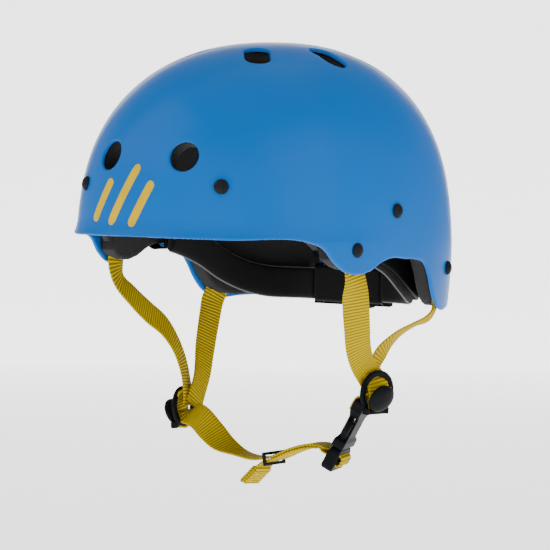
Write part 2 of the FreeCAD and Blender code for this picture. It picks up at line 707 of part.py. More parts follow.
cross = tuple(side_way)
BUCKLE_LINK = [((84.7, 3.5, -102.8), (-0.2, 0.97, 0)), ((83.3, 2.1, -106.0), (-0.2, 0.97, 0)),
               (buckle_point(-28.2, 0, -7.4), cross), (buckle_point(-20.5, 0, -7.2), cross)]
webbing("buckle_link_strap", BUCKLE_LINK)
CHIN_STRAP = [((-82.0, 5, -131), (0.1, 0.75, 0.6)), ((-74, 1.5, -131.5), (0.35, 0.5, 0.75)),
              ((-64, -3.5, -133.5), (0.5, 0.45, 0.75)), ((-52, -6.5, -141), (0.45, 0.65, 0.6)),
              ((-38, -9, -149.5), (0.3, 0.85, 0.3)), ((-22, -10, -154.8), (0.1, 1, 0)),
              ((-4, -10, -157), (0, 1, 0)), ((12, -10, -154.2), (0, 1, 0)),
              ((28, -9.5, -147.5), (0, 1, 0)), ((42, -8.5, -143.5), (-0.1, 1, 0)),
              ((52, -10, -143.5), (-0.25, 1, 0)), (buckle_point(15.6, 0, -7.4), cross)]
webbing("chin_strap", CHIN_STRAP)
RETURN_DROP = 2.1
CHIN_RETURN = [((-1.9, -11.6, -164.6), (0, 1, 0)), ((1.8, -10.8, -160.6), (0, 1, 0)),
               ((6.5, -10, -157.5), (0, 1, 0))]
CHIN_RETURN += [((x, y, z - RETURN_DROP), across)
                for (x, y, z), across in CHIN_STRAP[7:11]]
CHIN_RETURN += [(buckle_point(19.8, 0, -7.6), cross)]
webbing("chin_strap_return", CHIN_RETURN)
TAIL = [((-2.4, -11.8, -165.4), (0, 1, 0)), ((-9.5, -13, -172), (0, 1, 0))]
shaped("strap_tail", ribbon(TAIL, thick=3 * dim("web_thick")))

# Rubber keeper ring round the doubled chin strap
KEEPER_CENTRE = Vector(8.2, -10, -154.9)
keeper_run = Vector(16, 0, 2.8).normalize()
keeper_high, keeper_low = 1.6, -3.6
keeper = new_body("strap_keeper")
loop = new_sketch(keeper, "keeper_loop", "YZ_Plane")
wire = dim("keeper_wire")
half_in = dim("web_width") / 2 + 0.5
rectangle(loop, (-half_in - wire, keeper_low - wire), (half_in + wire, keeper_high + wire))
rectangle(loop, (-half_in, keeper_low), (half_in, keeper_high))
pad(keeper, loop, wire, "Dims.keeper_wire", middle=True)
keeper.Placement = frame(KEEPER_CENTRE, keeper_run, REAR)

# ---------------------------------------------------------------- nape cradle and adjuster

# Cradle parts are drawn with X to the wearer's right, Y up and Z towards the back
PLATE_HALF, PLATE_RISE = 34, 15
HOUSING_HALF, HOUSING_BACK = 30, 8.0
RACK_LOW, RACK_HIGH = 1.4, 3.4
CHANNEL_RISE = 11.6
SCREWS = [(x, y) for x in (-26.5, 26.5) for y in (-13.3, 13.3)]


CRADLE_CENTRE = Vector(0, 94.5, -37)
cradle_place = Placement(CRADLE_CENTRE, Rotation(Vector(-1, 0, 0), UP, REAR, "XYZ"))


def at_back(body):
    """Puts a body drawn with Z towards the back of the head in its place."""
    body.Placement = cradle_place


cradle = new_body("nape_cradle")
plate = new_sketch(cradle, "cradle_plate", "XY_Plane")
rectangle(plate, (-PLATE_HALF, -PLATE_RISE), (PLATE_HALF, PLATE_RISE))
for x, y in SCREWS:
    circle(plate, (x, y), 2.6)
pad(cradle, plate, 1.8, reverse=True)
slots = new_sketch(cradle, "cradle_slots", "XY_Plane")
for s in (-1, 1):
    for k in range(3):
        centre_x = s * (18 + 4 * k)
        rectangle(slots, (centre_x - 1.2, -5), (centre_x + 1.2, 9))
    for k in range(2):
        centre_x = s * (19 + 7 * k)
        rectangle(slots, (centre_x - 1.5, -10.6), (centre_x + 1.5, -7.6))
pocket(cradle, slots, 20)
at_back(cradle)

housing = new_body("adjuster_housing")
case = new_sketch(housing, "housing_case", "XY_Plane", 0.2)
rectangle(case, (-HOUSING_HALF, -PLATE_RISE), (HOUSING_HALF, PLATE_RISE))
pad(housing, case, HOUSING_BACK)
holes = new_sketch(housing, "housing_holes", "XY_Plane")
for x, y in SCREWS:
    circle(holes, (x, y), 2.6)
circle(holes, (0, 0), 6.6)
pocket(housing, holes, 60)
channel = new_sketch(housing, "rack_channel", "XY_Plane", 0.2)
rectangle(channel, (-HOUSING_HALF - 1, -CHANNEL_RISE), (HOUSING_HALF + 1, CHANNEL_RISE))
pocket(housing, channel, 2 * (RACK_HIGH + 0.6))
at_back(housing)

# Pinion and racks share one module; the racks run above and below the pinion
PINION_TEETH = 10
module = dim("gear_module")
pitch_radius = PINION_TEETH * module / 2
tooth_pitch = math.pi * module
tip_rise, root_drop = 0.75 * module, 1.1 * module


def pinion_outline():
    """Tapered teeth: narrow at the tip, so that a tooth rolls clear of the racks."""
    points = []
    for k in range(PINION_TEETH):
        middle = 2 * math.pi * (k + 0.25) / PINION_TEETH
        step = 2 * math.pi / PINION_TEETH
        for share, radius in ((-0.30, pitch_radius - root_drop), (-0.10, pitch_radius + tip_rise),
                              (0.10, pitch_radius + tip_rise), (0.30, pitch_radius - root_drop)):
            turn = middle + share * step
            points.append((radius * math.cos(turn), radius * math.sin(turn)))
    return points


pinion = new_body("adjuster_pinion")
teeth = new_sketch(pinion, "pinion_teeth", "XY_Plane", RACK_LOW)
outline(teeth, pinion_outline())
pad(pinion, teeth, RACK_HIGH - RACK_LOW)
shaft = new_sketch(pinion, "pinion_shaft", "XY_Plane", RACK_HIGH)
circle(shaft, (0, 0), 6.4)
pad(pinion, shaft, HOUSING_BACK + 1.2 - RACK_HIGH)
at_back(pinion)

KNOB_START = HOUSING_BACK + 1.2
knob = new_body("adjuster_knob")
disc = new_sketch(knob, "knob_disc", "XY_Plane", KNOB_START)
circle(disc, (0, 0), dim("dial_diameter"), "Dims.dial_diameter")
pad(knob, disc, dim("dial_thick"), "Dims.dial_thick")
grips = new_sketch(knob, "knob_grips", "XY_Plane", KNOB_START)
GRIP_COUNT = 12
for k in range(GRIP_COUNT):
    turn = 2 * math.pi * k / GRIP_COUNT
    reach = dim("dial_diameter") / 2 + 0.9
    circle(grips, (reach * math.cos(turn), reach * math.sin(turn)), 5.0)
pocket(knob, grips, 60)
at_back(knob)

screw = new_body("screw_master", keep=False)
stem = new_sketch(screw, "screw_stem", "XY_Plane")
circle(stem, (0, 0), 2.3)
pad(screw, stem, HOUSING_BACK + 0.4)
cap = new_sketch(screw, "screw_cap", "XY_Plane", HOUSING_BACK + 0.4)
circle(cap, (0, 0), 3.8)
pad(screw, cap, 1.2)
doc.recompute()
copies = []
for x, y in SCREWS:
    copy = screw.Shape.copy()
    copy.Placement = cradle_place.multiply(Placement(Vector(x, y, 0), Rotation()))
    copies.append(copy)
shaped("housing_screws", Part.makeCompound(copies))


def rack(name, s):
    """Toothed band end. In the cradle's frame local X points to the wearer's right."""
    body = new_body(name)
    near, far_end = -s * 16.0, s * 44.0
    base_line, top_line = s * (pitch_radius + root_drop), s * (pitch_radius + dim("rack_height"))
    sketch = new_sketch(body, name + "_band", "XY_Plane", RACK_LOW)
    low = (min(near, far_end), min(base_line, top_line))
    high = (max(near, far_end), max(base_line, top_line))
    rectangle(sketch, low, high)
    pad(body, sketch, RACK_HIGH - RACK_LOW)
    tips = new_sketch(body, name + "_teeth", "XY_Plane", RACK_LOW)
    phase = 0.25 * tooth_pitch
    for k in range(-5, 12):
        centre_x = s * (k * tooth_pitch + phase + tooth_pitch / 2)
        tip_line = s * (pitch_radius - tip_rise)
        foot, tip = 0.28 * tooth_pitch, 0.10 * tooth_pitch
        outline(tips, [(centre_x - foot, base_line + s * 0.1), (centre_x + foot, base_line + s * 0.1),
                       (centre_x + tip, tip_line), (centre_x - tip, tip_line)])
    pad(body, tips, RACK_HIGH - RACK_LOW)
    at_back(body)


rack("left_toothed_band", -1)
rack("right_toothed_band", 1)

# Curved arms run from the cradle forward to hangers at the side fasteners
ARM_ROUTE = [((35.2, 93.6, -37), (0, 0, 1)), ((46, 93, -37), (0, 0, 1)), ((57, 89.5, -37), (0, 0, 1)),
             ((67, 81, -36.5), (0, 0.1, 1)), ((77, 65, -33), (0, 0.35, 1)),
             ((84.5, 45, -25), (0, 0.5, 1)), ((88.3, 22, -13), (0, 0.45, 1)),
             ((89.2, -6, -3.5), (0, 0.3, 1))]


def mirrored(route, side):
    return [((side * x, y, z), (side * a, b, c)) for (x, y, z), (a, b, c) in route]


PAD_SHIFT = 5.4
for name, side in SIDES.items():
    shaped(name + "_cradle_arm", ribbon(mirrored(ARM_ROUTE, side), 17, dim("band_thick")))
    inner = [((x * (1 - PAD_SHIFT / 90), y - PAD_SHIFT * max(0, y) / 110, z), across)
             for (x, y, z), across in ARM_ROUTE]
    shaped(name + "_cradle_pad", ribbon(mirrored(inner, side), 22, 6.0))
    top = wall_point(side, -9.7, 30, 4.6)
    middle = wall_point(side, -9.7, 10, 4.6)
    low = wall_point(side, -9.7, -4.5, 4.6)
    hanger = [(tuple(top), (0, 1, 0)), (tuple(middle), (0, 1, 0)), (tuple(low), (0, 1, 0)),
              ((side * 103.5, -9.7, -9.9), (0, 1, 0)), ((side * 92.0, -9.7, -10.3), (0, 1, 0))]
    solid = ribbon(hanger, 12, 1.2)
    point, outward = local_axes(side * SIDE_RIVET[0], SIDE_RIVET[1])
    drill = Part.makeCylinder(dim("rivet_hole") / 2, 24, point - outward * 12, outward)
    shaped(name + "_cradle_hanger", solid.cut(drill))

nape_pad = new_body("nape_pad")
cushion = new_sketch(nape_pad, "nape_cushion", "XY_Plane", -9.0)
rectangle(cushion, (-30, -13), (30, 13))
pad(nape_pad, cushion, 6.6)
at_back(nape_pad)

# ---------------------------------------------------------------- check and export

doc.recompute()
for item in doc.Objects:
    if "Invalid" in item.State or "Error" in item.State:
        raise RuntimeError(item.Label + " failed to rebuild")
faulty = [item.Label for item in sub_parts
          if item.Shape.isNull() or not item.Shape.isValid() or item.Shape.Volume <= 0]
if faulty:
    raise RuntimeError("no valid shape: " + ", ".join(faulty))
os.makedirs("parts", exist_ok=True)
for item in sub_parts:
    item.Shape.exportStep("parts/" + item.Label + ".step")
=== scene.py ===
import json
import math

import bmesh
import bpy
import numpy as np
from mathutils import Matrix, Vector

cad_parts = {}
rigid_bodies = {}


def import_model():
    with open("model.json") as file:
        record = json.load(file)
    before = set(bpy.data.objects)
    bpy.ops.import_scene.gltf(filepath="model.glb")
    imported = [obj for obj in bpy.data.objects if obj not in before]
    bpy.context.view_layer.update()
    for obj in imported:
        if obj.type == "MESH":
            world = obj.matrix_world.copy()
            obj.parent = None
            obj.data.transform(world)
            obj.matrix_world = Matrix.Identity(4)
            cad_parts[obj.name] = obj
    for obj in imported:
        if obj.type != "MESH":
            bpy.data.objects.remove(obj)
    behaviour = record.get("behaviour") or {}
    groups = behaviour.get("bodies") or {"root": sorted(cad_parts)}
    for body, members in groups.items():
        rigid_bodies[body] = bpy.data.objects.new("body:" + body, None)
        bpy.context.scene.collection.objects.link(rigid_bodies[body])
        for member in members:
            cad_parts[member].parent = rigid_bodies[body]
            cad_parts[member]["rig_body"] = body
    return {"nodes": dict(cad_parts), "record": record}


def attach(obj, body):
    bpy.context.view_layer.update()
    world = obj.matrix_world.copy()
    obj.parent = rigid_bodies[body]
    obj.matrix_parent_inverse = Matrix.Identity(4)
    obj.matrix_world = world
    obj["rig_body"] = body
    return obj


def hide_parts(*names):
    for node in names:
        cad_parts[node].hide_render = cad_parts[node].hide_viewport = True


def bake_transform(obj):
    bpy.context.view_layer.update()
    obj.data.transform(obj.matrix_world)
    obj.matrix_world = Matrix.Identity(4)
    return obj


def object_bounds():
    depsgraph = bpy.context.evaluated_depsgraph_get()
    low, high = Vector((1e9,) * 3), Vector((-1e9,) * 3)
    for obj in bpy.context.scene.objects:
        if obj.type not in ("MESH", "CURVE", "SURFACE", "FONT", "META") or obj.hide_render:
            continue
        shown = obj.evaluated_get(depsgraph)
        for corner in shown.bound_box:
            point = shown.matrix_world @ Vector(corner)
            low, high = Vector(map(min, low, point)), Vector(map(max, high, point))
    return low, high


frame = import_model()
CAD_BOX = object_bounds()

MM = 0.001


def unit(v):
    """A vector, or each row of a table of vectors, at length one."""
    v = np.asarray(v, float)
    return v / (np.linalg.norm(v) if v.ndim == 1 else np.linalg.norm(v, axis=1)[:, None])


# --- surface of the helmet

# The shell's formula, in millimetres: a rounded dome on a squared oval plan
HALF_WIDTH, FRONT_REACH, REAR_REACH, CROWN = 112.0, 153.2, 126.3, 137.8
CROWN_POWER, SIDE_POWER, PLAN_POWER, SKIRT_DRAW = 2.288, 2.724, 2.518, 0.087
LIP, LIP_START, LIP_END = 3.6, 15.0, 2.0
WALL = 3.0


def dome_level(p, inset=0.0):
    """Zero on the dome that lies inset inside the shell's outer surface; p is (n, 3) in mm."""
    x, y, z = p[:, 0], p[:, 1], p[:, 2]
    reach = np.where(y < 0, FRONT_REACH, REAR_REACH) - inset
    crown = CROWN - inset
    share = np.clip(z / CROWN, 0, 1)
    power = 2 + (PLAN_POWER - 2) * (1 - share)
    plan = (np.abs(y) / reach) ** power + (np.abs(x) / (HALF_WIDTH - inset)) ** power
    plan = np.maximum(plan, 1e-12) ** (1 / power)
    radius = np.sqrt(x * x + y * y) + 1e-6
    forward = np.clip(-y / radius, 0, 1)
    roll = np.clip((LIP_START - z) / (LIP_START - LIP_END), 0, 1)
    plan = np.maximum(plan * (1 - LIP * forward ** 2 * roll ** 2 / radius), 0)
    upper = plan ** CROWN_POWER + np.clip(z / crown, 0, 3) ** SIDE_POWER - 1
    skirt = (1 - SKIRT_DRAW * (np.minimum(z, 0) / 100) ** 2) ** CROWN_POWER
    return np.where(z >= 0, upper, plan ** CROWN_POWER - skirt)


def gradient(field, p, step=0.05):
    out = np.empty_like(p)
    for axis in range(3):
        shift = np.zeros(3)
        shift[axis] = step
        out[:, axis] = (field(p + shift) - field(p - shift)) / (2 * step)
    return out


def dome_distance(p, inset=0.0):
    """Distance outside that dome, nearly true within 15 mm of it."""
    slope = gradient(lambda q: dome_level(q, inset), p, 0.5)
    return dome_level(p, inset) / np.maximum(np.linalg.norm(slope, axis=1), 1e-6)


# The rim seen from the side, as (y, z): brow, temple lobe, ear cut-out, rear lobe, back
RIM = [(-190, 4.9), (-140, 2.95), (-92, 1.1), (-82, -2.6), (-72, -12.5), (-61, -19.3),
       (-50, -21.0), (-38, -18.9), (-25, -13.0), (-13, -10.4), (2, -11.4), (16, -12.4),
       (26, -15.0), (33, -23.4), (39.5, -34.8), (47, -43.8), (61, -49.6), (77, -48.5),
       (110, -46.7), (160, -43.9)]


def smooth_line(points, count):
    """Points of a smooth curve through a list of points of any dimension."""
    knots = np.array(points, float)
    ends = np.vstack([2 * knots[0] - knots[1], knots, 2 * knots[-1] - knots[-2]])
    gaps = np.linalg.norm(np.diff(knots[:, :min(3, knots.shape[1])], axis=0), axis=1)
    along = np.concatenate([[0], np.cumsum(gaps)])
    places = np.linspace(0, along[-1], count)
    out = []
    for place in places:
        k = min(int(np.searchsorted(along, place, side="right")) - 1, len(gaps) - 1)
        gap = gaps[k]
        u = (place - along[k]) / gap
        before = gaps[k - 1] if k > 0 else gap
        after = gaps[k + 1] if k + 1 < len(gaps) else gap
        a, b, c, d = ends[k:k + 4]
        slope_b = gap * ((b - a) / before * gap + (c - b) / gap * before) / (before + gap)
        slope_c = gap * ((c - b) / gap * after + (d - c) / after * gap) / (after + gap)
        out.append((2 * u**3 - 3 * u**2 + 1) * b + (u**3 - 2 * u**2 + u) * slope_b
                   + (3 * u**2 - 2 * u**3) * c + (u**3 - u**2) * slope_c)
    return np.array(out)


RIM_LINE = smooth_line(RIM, 700)
RIM_LINE = RIM_LINE[np.argsort(RIM_LINE[:, 0])]
RIM_SLOPE = np.gradient(RIM_LINE[:, 1], RIM_LINE[:, 0])


def rim_cut(p, lift=0.0):
    """Positive below the rim line."""
    level = np.interp(p[:, 1], RIM_LINE[:, 0], RIM_LINE[:, 1]) + lift
    slope = np.interp(p[:, 1], RIM_LINE[:, 0], RIM_SLOPE)
    return (level - p[:, 2]) / np.sqrt(1 + slope ** 2)


ARCH_RADIUS, ARCH_LEVEL, ARCH_FRONT = 60.0, -84.0, 60.0


def arch_cut(p, grow=0.0):
    reach = ARCH_RADIUS + grow - np.sqrt(p[:, 0] ** 2 + (p[:, 2] - ARCH_LEVEL) ** 2)
    return np.minimum(reach, p[:, 1] - ARCH_FRONT)


def shell_point(azimuth, z):
    """A point of the outer surface; azimuth in degrees from the brow towards the left."""
    turn = math.radians(azimuth)
    way = np.array([math.sin(turn), -math.cos(turn), 0.0])
    low, high = 0.0, 220.0
    for _ in range(40):
        middle = (low + high) / 2
        if dome_level(np.array([way * middle + [0, 0, z]]))[0] < 0:
            low = middle
        else:
            high = middle
    return way * low + np.array([0, 0, z])


def shell_normal(point):
    return unit(gradient(dome_level, np.array([point]), 0.5)[0])


VENT_RADIUS = 10.25
OVAL_LENGTH, OVAL_WIDTH, OVAL_LEVEL = 31.0, 17.5, 127.5
# Round vents as (azimuth, level), oval ones as an azimuth each
ROUND_VENTS = [(12.6, 58.0), (-12.6, 58.0), (165.0, 58.0), (-165.0, 58.0)]
OVAL_VENTS = [k * 360 / 7 + 180 / 7 for k in range(7)]


def vent_axes():
    axes = []
    for azimuth, level in ROUND_VENTS:
        point = shell_point(azimuth, level)
        axes.append((point, shell_normal(point), np.zeros(3), 0.0, VENT_RADIUS))
    for azimuth in OVAL_VENTS:
        point = shell_point(azimuth, OVAL_LEVEL)
        normal = shell_normal(point)
        run = np.cross(unit(np.cross([0, 0, 1], normal)), normal)
        axes.append((point, normal, run, (OVAL_LENGTH - OVAL_WIDTH) / 2, OVAL_WIDTH / 2))
    return axes


VENTS = vent_axes()
FAR_OUT, VENT_DEPTH = -1e3, 60.0


def vent_cut(p, grow=0.0):
    """Positive inside a vent."""
    best = np.full(len(p), FAR_OUT)
    for point, normal, run, half, radius in VENTS:
        offset = p - point
        depth = offset @ normal
        flat = offset - np.outer(depth, normal)
        if half:
            along = np.clip(flat @ run, -half, half)
            flat = flat - np.outer(along, run)
        inside = radius + grow - np.linalg.norm(flat, axis=1)
        best = np.maximum(best, np.where(depth > -VENT_DEPTH, inside, FAR_OUT))
    return best


def round_corner(a, b, radius):
    """Both a and b negative inside; the edge where they meet is rounded."""
    u, v = np.maximum(radius + a, 0), np.maximum(radius + b, 0)
    return np.minimum(-radius, np.maximum(a, b)) + np.sqrt(u * u + v * v)


# --- meshes

def enter(piece, body, nodes=()):
    """Give a piece its body and hide the nodes it replaces. A body given as a blend of two is
    not used: the piece is only baked in place.
    """
    if isinstance(body, str):
        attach(piece, body)
    else:
        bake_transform(piece)
    if nodes:
        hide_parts(*nodes)


def new_object(name, data):
    thing = bpy.data.objects.new(name, data)
    bpy.context.scene.collection.objects.link(thing)
    return thing


def finish_mesh(name, vertices, faces, material, normals=None, uvs=None):
    mesh = bpy.data.meshes.new(name)
    mesh.from_pydata([tuple(v) for v in vertices], [], [tuple(f) for f in faces])
    mesh.validate()
    if uvs is not None:
        layer = mesh.uv_layers.new(name="UVMap")
        loops = np.empty(len(mesh.loops), np.int32)
        mesh.loops.foreach_get("vertex_index", loops)
        layer.data.foreach_set("uv", np.asarray(uvs, np.float32)[loops].ravel())
    mesh.polygons.foreach_set("use_smooth", np.ones(len(mesh.polygons), bool))
    mesh.update()
    if normals is not None:
        mesh.normals_split_custom_set_from_vertices([tuple(n) for n in normals])
    mesh.materials.append(material)
    return new_object(name, mesh)


SNAP_STEPS, SNAP_REACH = 4, 0.6


def solid_from_field(name, field, low, high, cell, material, origin=None, turn=None):
    """A closed mesh of the surface where field is zero, snapped exactly onto it.
    The field can be in a frame of its own, with an origin and its axes as columns."""
    low, high = np.array(low, float), np.array(high, float)
    count = np.ceil((high - low) / cell).astype(int) + 1
    axes = [low[k] + cell * np.arange(count[k]) for k in range(3)]
    values = np.empty(count, np.float32)
    for i, x in enumerate(axes[0]):
        yy, zz = np.meshgrid(axes[1], axes[2], indexing="ij")
        layer = np.column_stack([np.full(yy.size, x), yy.ravel(), zz.ravel()])
        values[i] = field(layer).reshape(yy.shape)
    inside = values < 0
    corner = [inside[i:count[0] - 1 + i, j:count[1] - 1 + j, k:count[2] - 1 + k]
              for i in (0, 1) for j in (0, 1) for k in (0, 1)]
    total = sum(c.astype(np.int8) for c in corner)
    active = (total > 0) & (total < 8)
    index = np.full(active.shape, -1, np.int64)
    cells = np.argwhere(active)
    index[active] = np.arange(len(cells))
    places = np.zeros((len(cells), 3))
    hits = np.zeros(len(cells))
    for axis in range(3):
        others = [k for k in range(3) if k != axis]
        for i in (0, 1):
            for j in (0, 1):
                start = cells.copy()
                start[:, others[0]] += i
                start[:, others[1]] += j
                end = start.copy()
                end[:, axis] += 1
                a = values[tuple(start.T)].astype(float)
                b = values[tuple(end.T)].astype(float)
                crossed = (a < 0) != (b < 0)
                share = np.where(crossed, a / np.where(crossed, a - b, 1), 0)
                spot = start.astype(float)
                spot[:, axis] += share
                places += spot * crossed[:, None]
                hits += crossed
    points = low + cell * places / hits[:, None]
    faces = []
    for axis in range(3):
        a, b = [k for k in range(3) if k != axis]
        first = [slice(None)] * 3
        second = [slice(None)] * 3
        first[axis], second[axis] = slice(0, count[axis] - 1), slice(1, count[axis])
        change = inside[tuple(first)] != inside[tuple(second)]
        spots = np.argwhere(change)
        keep = (spots[:, a] > 0) & (spots[:, b] > 0)
        keep &= (spots[:, a] < count[a] - 1) & (spots[:, b] < count[b] - 1)
        spots = spots[keep]
        going_out = inside[tuple(spots.T)]
        quad = []
        for da, db in ((0, 0), (1, 0), (1, 1), (0, 1)):
            shifted = spots.copy()
            shifted[:, a] -= da
            shifted[:, b] -= db
            quad.append(index[tuple(shifted.T)])
        quad = np.stack(quad, axis=1)
        flip = going_out if axis != 1 else ~going_out
        quad[~flip] = quad[~flip][:, ::-1]
        faces.append(quad)
    faces = np.concatenate(faces)
    for _ in range(SNAP_STEPS):
        slope = gradient(field, points)
        size = np.maximum((slope ** 2).sum(axis=1), 1e-6)
        move = slope * (field(points) / size)[:, None]
        length = np.linalg.norm(move, axis=1)
        move *= np.minimum(1, SNAP_REACH * cell / np.maximum(length, 1e-9))[:, None]
        points = points - move
    slope = gradient(field, points, 0.15)
    normals = slope / np.maximum(np.linalg.norm(slope, axis=1), 1e-9)[:, None]
    if turn is not None:
        points = np.array(origin) + points @ turn.T
        normals = normals @ turn.T
    return finish_mesh(name, points * MM, faces, material, normals)


def grid_corners(rows, size, base=0):
    """For each face of a grid closed round its rows, its first corner and the next one round."""
    for row in range(rows - 1):
        for k in range(size):
            yield base + row * size + k, base + row * size + (k + 1) % size


def sweep(name, centres, across, normals, profile, material):
    """A section carried along a line; profile is (n, 2) across and along the normal.
    The UVs are metres across and along."""
    centres, across, normals = (np.asarray(a, float) for a in (centres, across, normals))
    rings = centres[:, None, :] + profile[None, :, :1] * across[:, None, :]
    rings = rings + profile[None, :, 1:2] * normals[:, None, :]
    steps, size = rings.shape[:2]
    run = np.concatenate([[0], np.cumsum(np.linalg.norm(np.diff(centres, axis=0), axis=1))])
    faces = [(a, a + size, b + size, b) for a, b in grid_corners(steps, size)]
    faces.append(tuple(range(size)))
    faces.append(tuple(reversed(range((steps - 1) * size, steps * size))))
    uvs = np.zeros((steps, size, 2))
    uvs[:, :, 0] = profile[None, :, 0] * MM
    uvs[:, :, 1] = run[:, None] * MM
    return finish_mesh(name, rings.reshape(-1, 3) * MM, faces, material, None,
                       uvs.reshape(-1, 2))


MERGE_DISTANCE = 0.00002
FLAT_ANGLE, EDGE_ANGLE = math.radians(1.0), math.radians(28)


def softened(node, name, material, width, segments=3):
    """A copy of a CAD node's mesh with rounded edges, which replaces the node."""
    mesh = frame["nodes"][node].data.copy()
    mesh.name = name
    mesh.materials.clear()
    piece = new_object(name, mesh)
    work = bmesh.new()
    work.from_mesh(mesh)
    bmesh.ops.remove_doubles(work, verts=work.verts, dist=MERGE_DISTANCE)
    bmesh.ops.dissolve_limit(work, angle_limit=FLAT_ANGLE, verts=work.verts,
                             edges=work.edges)
    work.to_mesh(mesh)
    work.free()
    mesh.polygons.foreach_set("use_smooth", np.ones(len(mesh.polygons), bool))
    mesh.materials.append(material)
    if "custom_normal" in mesh.attributes:
        mesh.attributes.remove(mesh.attributes["custom_normal"])
    bevel = piece.modifiers.new("edges", "BEVEL")
    bevel.width = width * MM
    bevel.segments = segments
    bevel.limit_method = "ANGLE"
    bevel.angle_limit = EDGE_ANGLE
    bevel.harden_normals = True
    bevel.use_clamp_overlap = True
    apply_modifiers(piece)
    enter(piece, frame["nodes"][node]["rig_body"], [node])


def apply_modifiers(piece):
    bpy.context.view_layer.update()
    depsgraph = bpy.context.evaluated_depsgraph_get()
    baked = bpy.data.meshes.new_from_object(piece.evaluated_get(depsgraph))
    piece.modifiers.clear()
    old = piece.data
    piece.data = baked
    bpy.data.meshes.remove(old)


# --- materials

class Nodes:
    """Short helper for building a material's node tree."""

    def __init__(self, name):
        self.material = bpy.data.materials.new(name)
        self.material.use_nodes = True
        self.tree = self.material.node_tree
        self.shader = self.tree.nodes["Principled BSDF"]

    def add(self, kind, **settings):
        """A new node; a setting is an input's value, with _ for a space, or a property."""
        node = self.tree.nodes.new(kind)
        for key, value in settings.items():
            socket = key.replace("_", " ")
            if socket in node.inputs:
                node.inputs[socket].default_value = value
            else:
                setattr(node, key, value)
        return node

    def link(self, source, target):
        self.tree.links.new(source, target)

    def place(self, kind="Object"):
        return self.add("ShaderNodeTexCoord").outputs[kind]

    def noise(self, where, scale, detail, roughness=0.5):
        node = self.add("ShaderNodeTexNoise", Scale=scale, Detail=detail, Roughness=roughness)
        self.link(where, node.inputs["Vector"])
        return node.outputs["Fac"]

    def ramp(self, source, stops):
        node = self.add("ShaderNodeValToRGB")
        for k, (place, colour) in enumerate(stops):
            stop = node.color_ramp.elements[k] if k < 2 else node.color_ramp.elements.new(place)
            stop.position = place
            stop.color = (*colour, 1)
        self.link(source, node.inputs["Fac"])
        return node.outputs["Color"]

    def between(self, source, low, high, **settings):
        node = self.add("ShaderNodeMapRange", To_Min=low, To_Max=high, **settings)
        self.link(source, node.inputs["Value"])
        return node.outputs["Result"]

    def bump(self, height, strength, distance, after=None):
        node = self.add("ShaderNodeBump", Strength=strength, Distance=distance)
        self.link(height, node.inputs["Height"])
        if after is not None:
            self.link(after, node.inputs["Normal"])
        return node.outputs["Normal"]

    def calculate(self, operation, *terms):
        """A math node; each term is a number or another node's output."""
        node = self.add("ShaderNodeMath", operation=operation)
        for k, term in enumerate(terms):
            if isinstance(term, float):
                node.inputs[k].default_value = term
            else:
                self.link(term, node.inputs[k])
        return node.outputs[0]

    def set(self, **values):
        for key, value in values.items():
            self.shader.inputs[key.replace("_", " ")].default_value = value

    def wire(self, source, socket):
        self.link(source, self.shader.inputs[socket])


def mottled(name, cloud, stops, wear, rough, grain, relief, **values):
    """Clouded colour, uneven roughness and a fine grain.
    cloud, wear and grain are noises as (scale, detail); relief is (strength, distance)."""
    m = Nodes(name)
    where = m.place()
    m.wire(m.ramp(m.noise(where, *cloud), stops), "Base Color")
    m.wire(m.between(m.noise(where, *wear), *rough), "Roughness")
    m.wire(m.bump(m.noise(where, *grain), *relief), "Normal")
    m.set(**values)
    return m.material


def black_plastic(name, base, rough, grain=1400.0):
    dark = (base * 0.75, base * 0.9, base * 1.05)
    light = (base * 1.4, base * 1.6, base * 1.85)
    return mottled(name, (120.0, 4.0), [(0.3, dark), (0.75, light)], (300.0, 4.0), rough,
                   (grain, 3.0), (0.12, 0.0003), Specular_IOR_Level=0.04)


def plain(name, colour, rough, metal=0.0):
    dark = tuple(c * 0.85 for c in colour)
    return mottled(name, (80.0, 4.0), [(0.3, dark), (0.75, colour)], (200.0, 3.0),
                   (rough * 0.8, rough * 1.2), (600.0, 2.0), (0.08, 0.0003), Metallic=metal,
                   Specular_IOR_Level=0.5 if metal else 0.08)


def foam_material():
    m = Nodes("closed_cell_foam")
    where = m.place()
    cells = m.add("ShaderNodeTexVoronoi", Scale=900.0)
    m.link(where, cells.inputs["Vector"])
    cloud = m.noise(where, 220.0, 6.0, 0.7)
    m.wire(m.ramp(cloud, [(0.3, (0.002, 0.002, 0.0025)), (0.75, (0.008, 0.008, 0.009))]),
           "Base Color")
    m.wire(m.between(cloud, 0.75, 0.95), "Roughness")
    first = m.bump(cells.outputs["Distance"], 0.35, 0.0006)
    m.wire(m.bump(cloud, 0.25, 0.001, first), "Normal")
    return m.material


RIB_PITCH, YARN_PITCH = 2.3, 0.9


def webbing_material():
    """Ribbed webbing: ribs across its width and yarns along it, with painted shade darkening the
    grooves in its base colour.
    """
    m = Nodes("ribbed_webbing")
    where = m.place("UV")
    split = m.add("ShaderNodeSeparateXYZ")
    m.link(where, split.inputs["Vector"])
    rib, yarn = (m.calculate("SINE", m.calculate("MULTIPLY", split.outputs[way],
                                                 2 * math.pi / (pitch * MM)))
                 for way, pitch in (("Y", RIB_PITCH), ("X", YARN_PITCH)))
    mixed = m.calculate("MULTIPLY_ADD", m.calculate("MULTIPLY", rib, yarn), 0.35, rib)
    height = m.calculate("MULTIPLY_ADD", m.noise(where, 900.0, 2.0), 0.8, mixed)
    # Painted shade: the base colour follows the relief height, so the grooves between ribs and
    # yarns are painted darker.
    groove_shade = m.between(height, 0.0, 1.0, From_Min=-1.0, From_Max=1.8)
    m.wire(m.ramp(groove_shade, [(0.0, (0.2, 0.125, 0.0)), (0.45, (0.46, 0.315, 0.0)),
                         (1.0, (0.68, 0.5, 0.0))]), "Base Color")
    m.wire(m.between(groove_shade, 0.72, 0.5), "Roughness")
    m.wire(m.bump(height, 0.9, 0.0004), "Normal")
    m.set(Specular_IOR_Level=0.04)
    return m.material


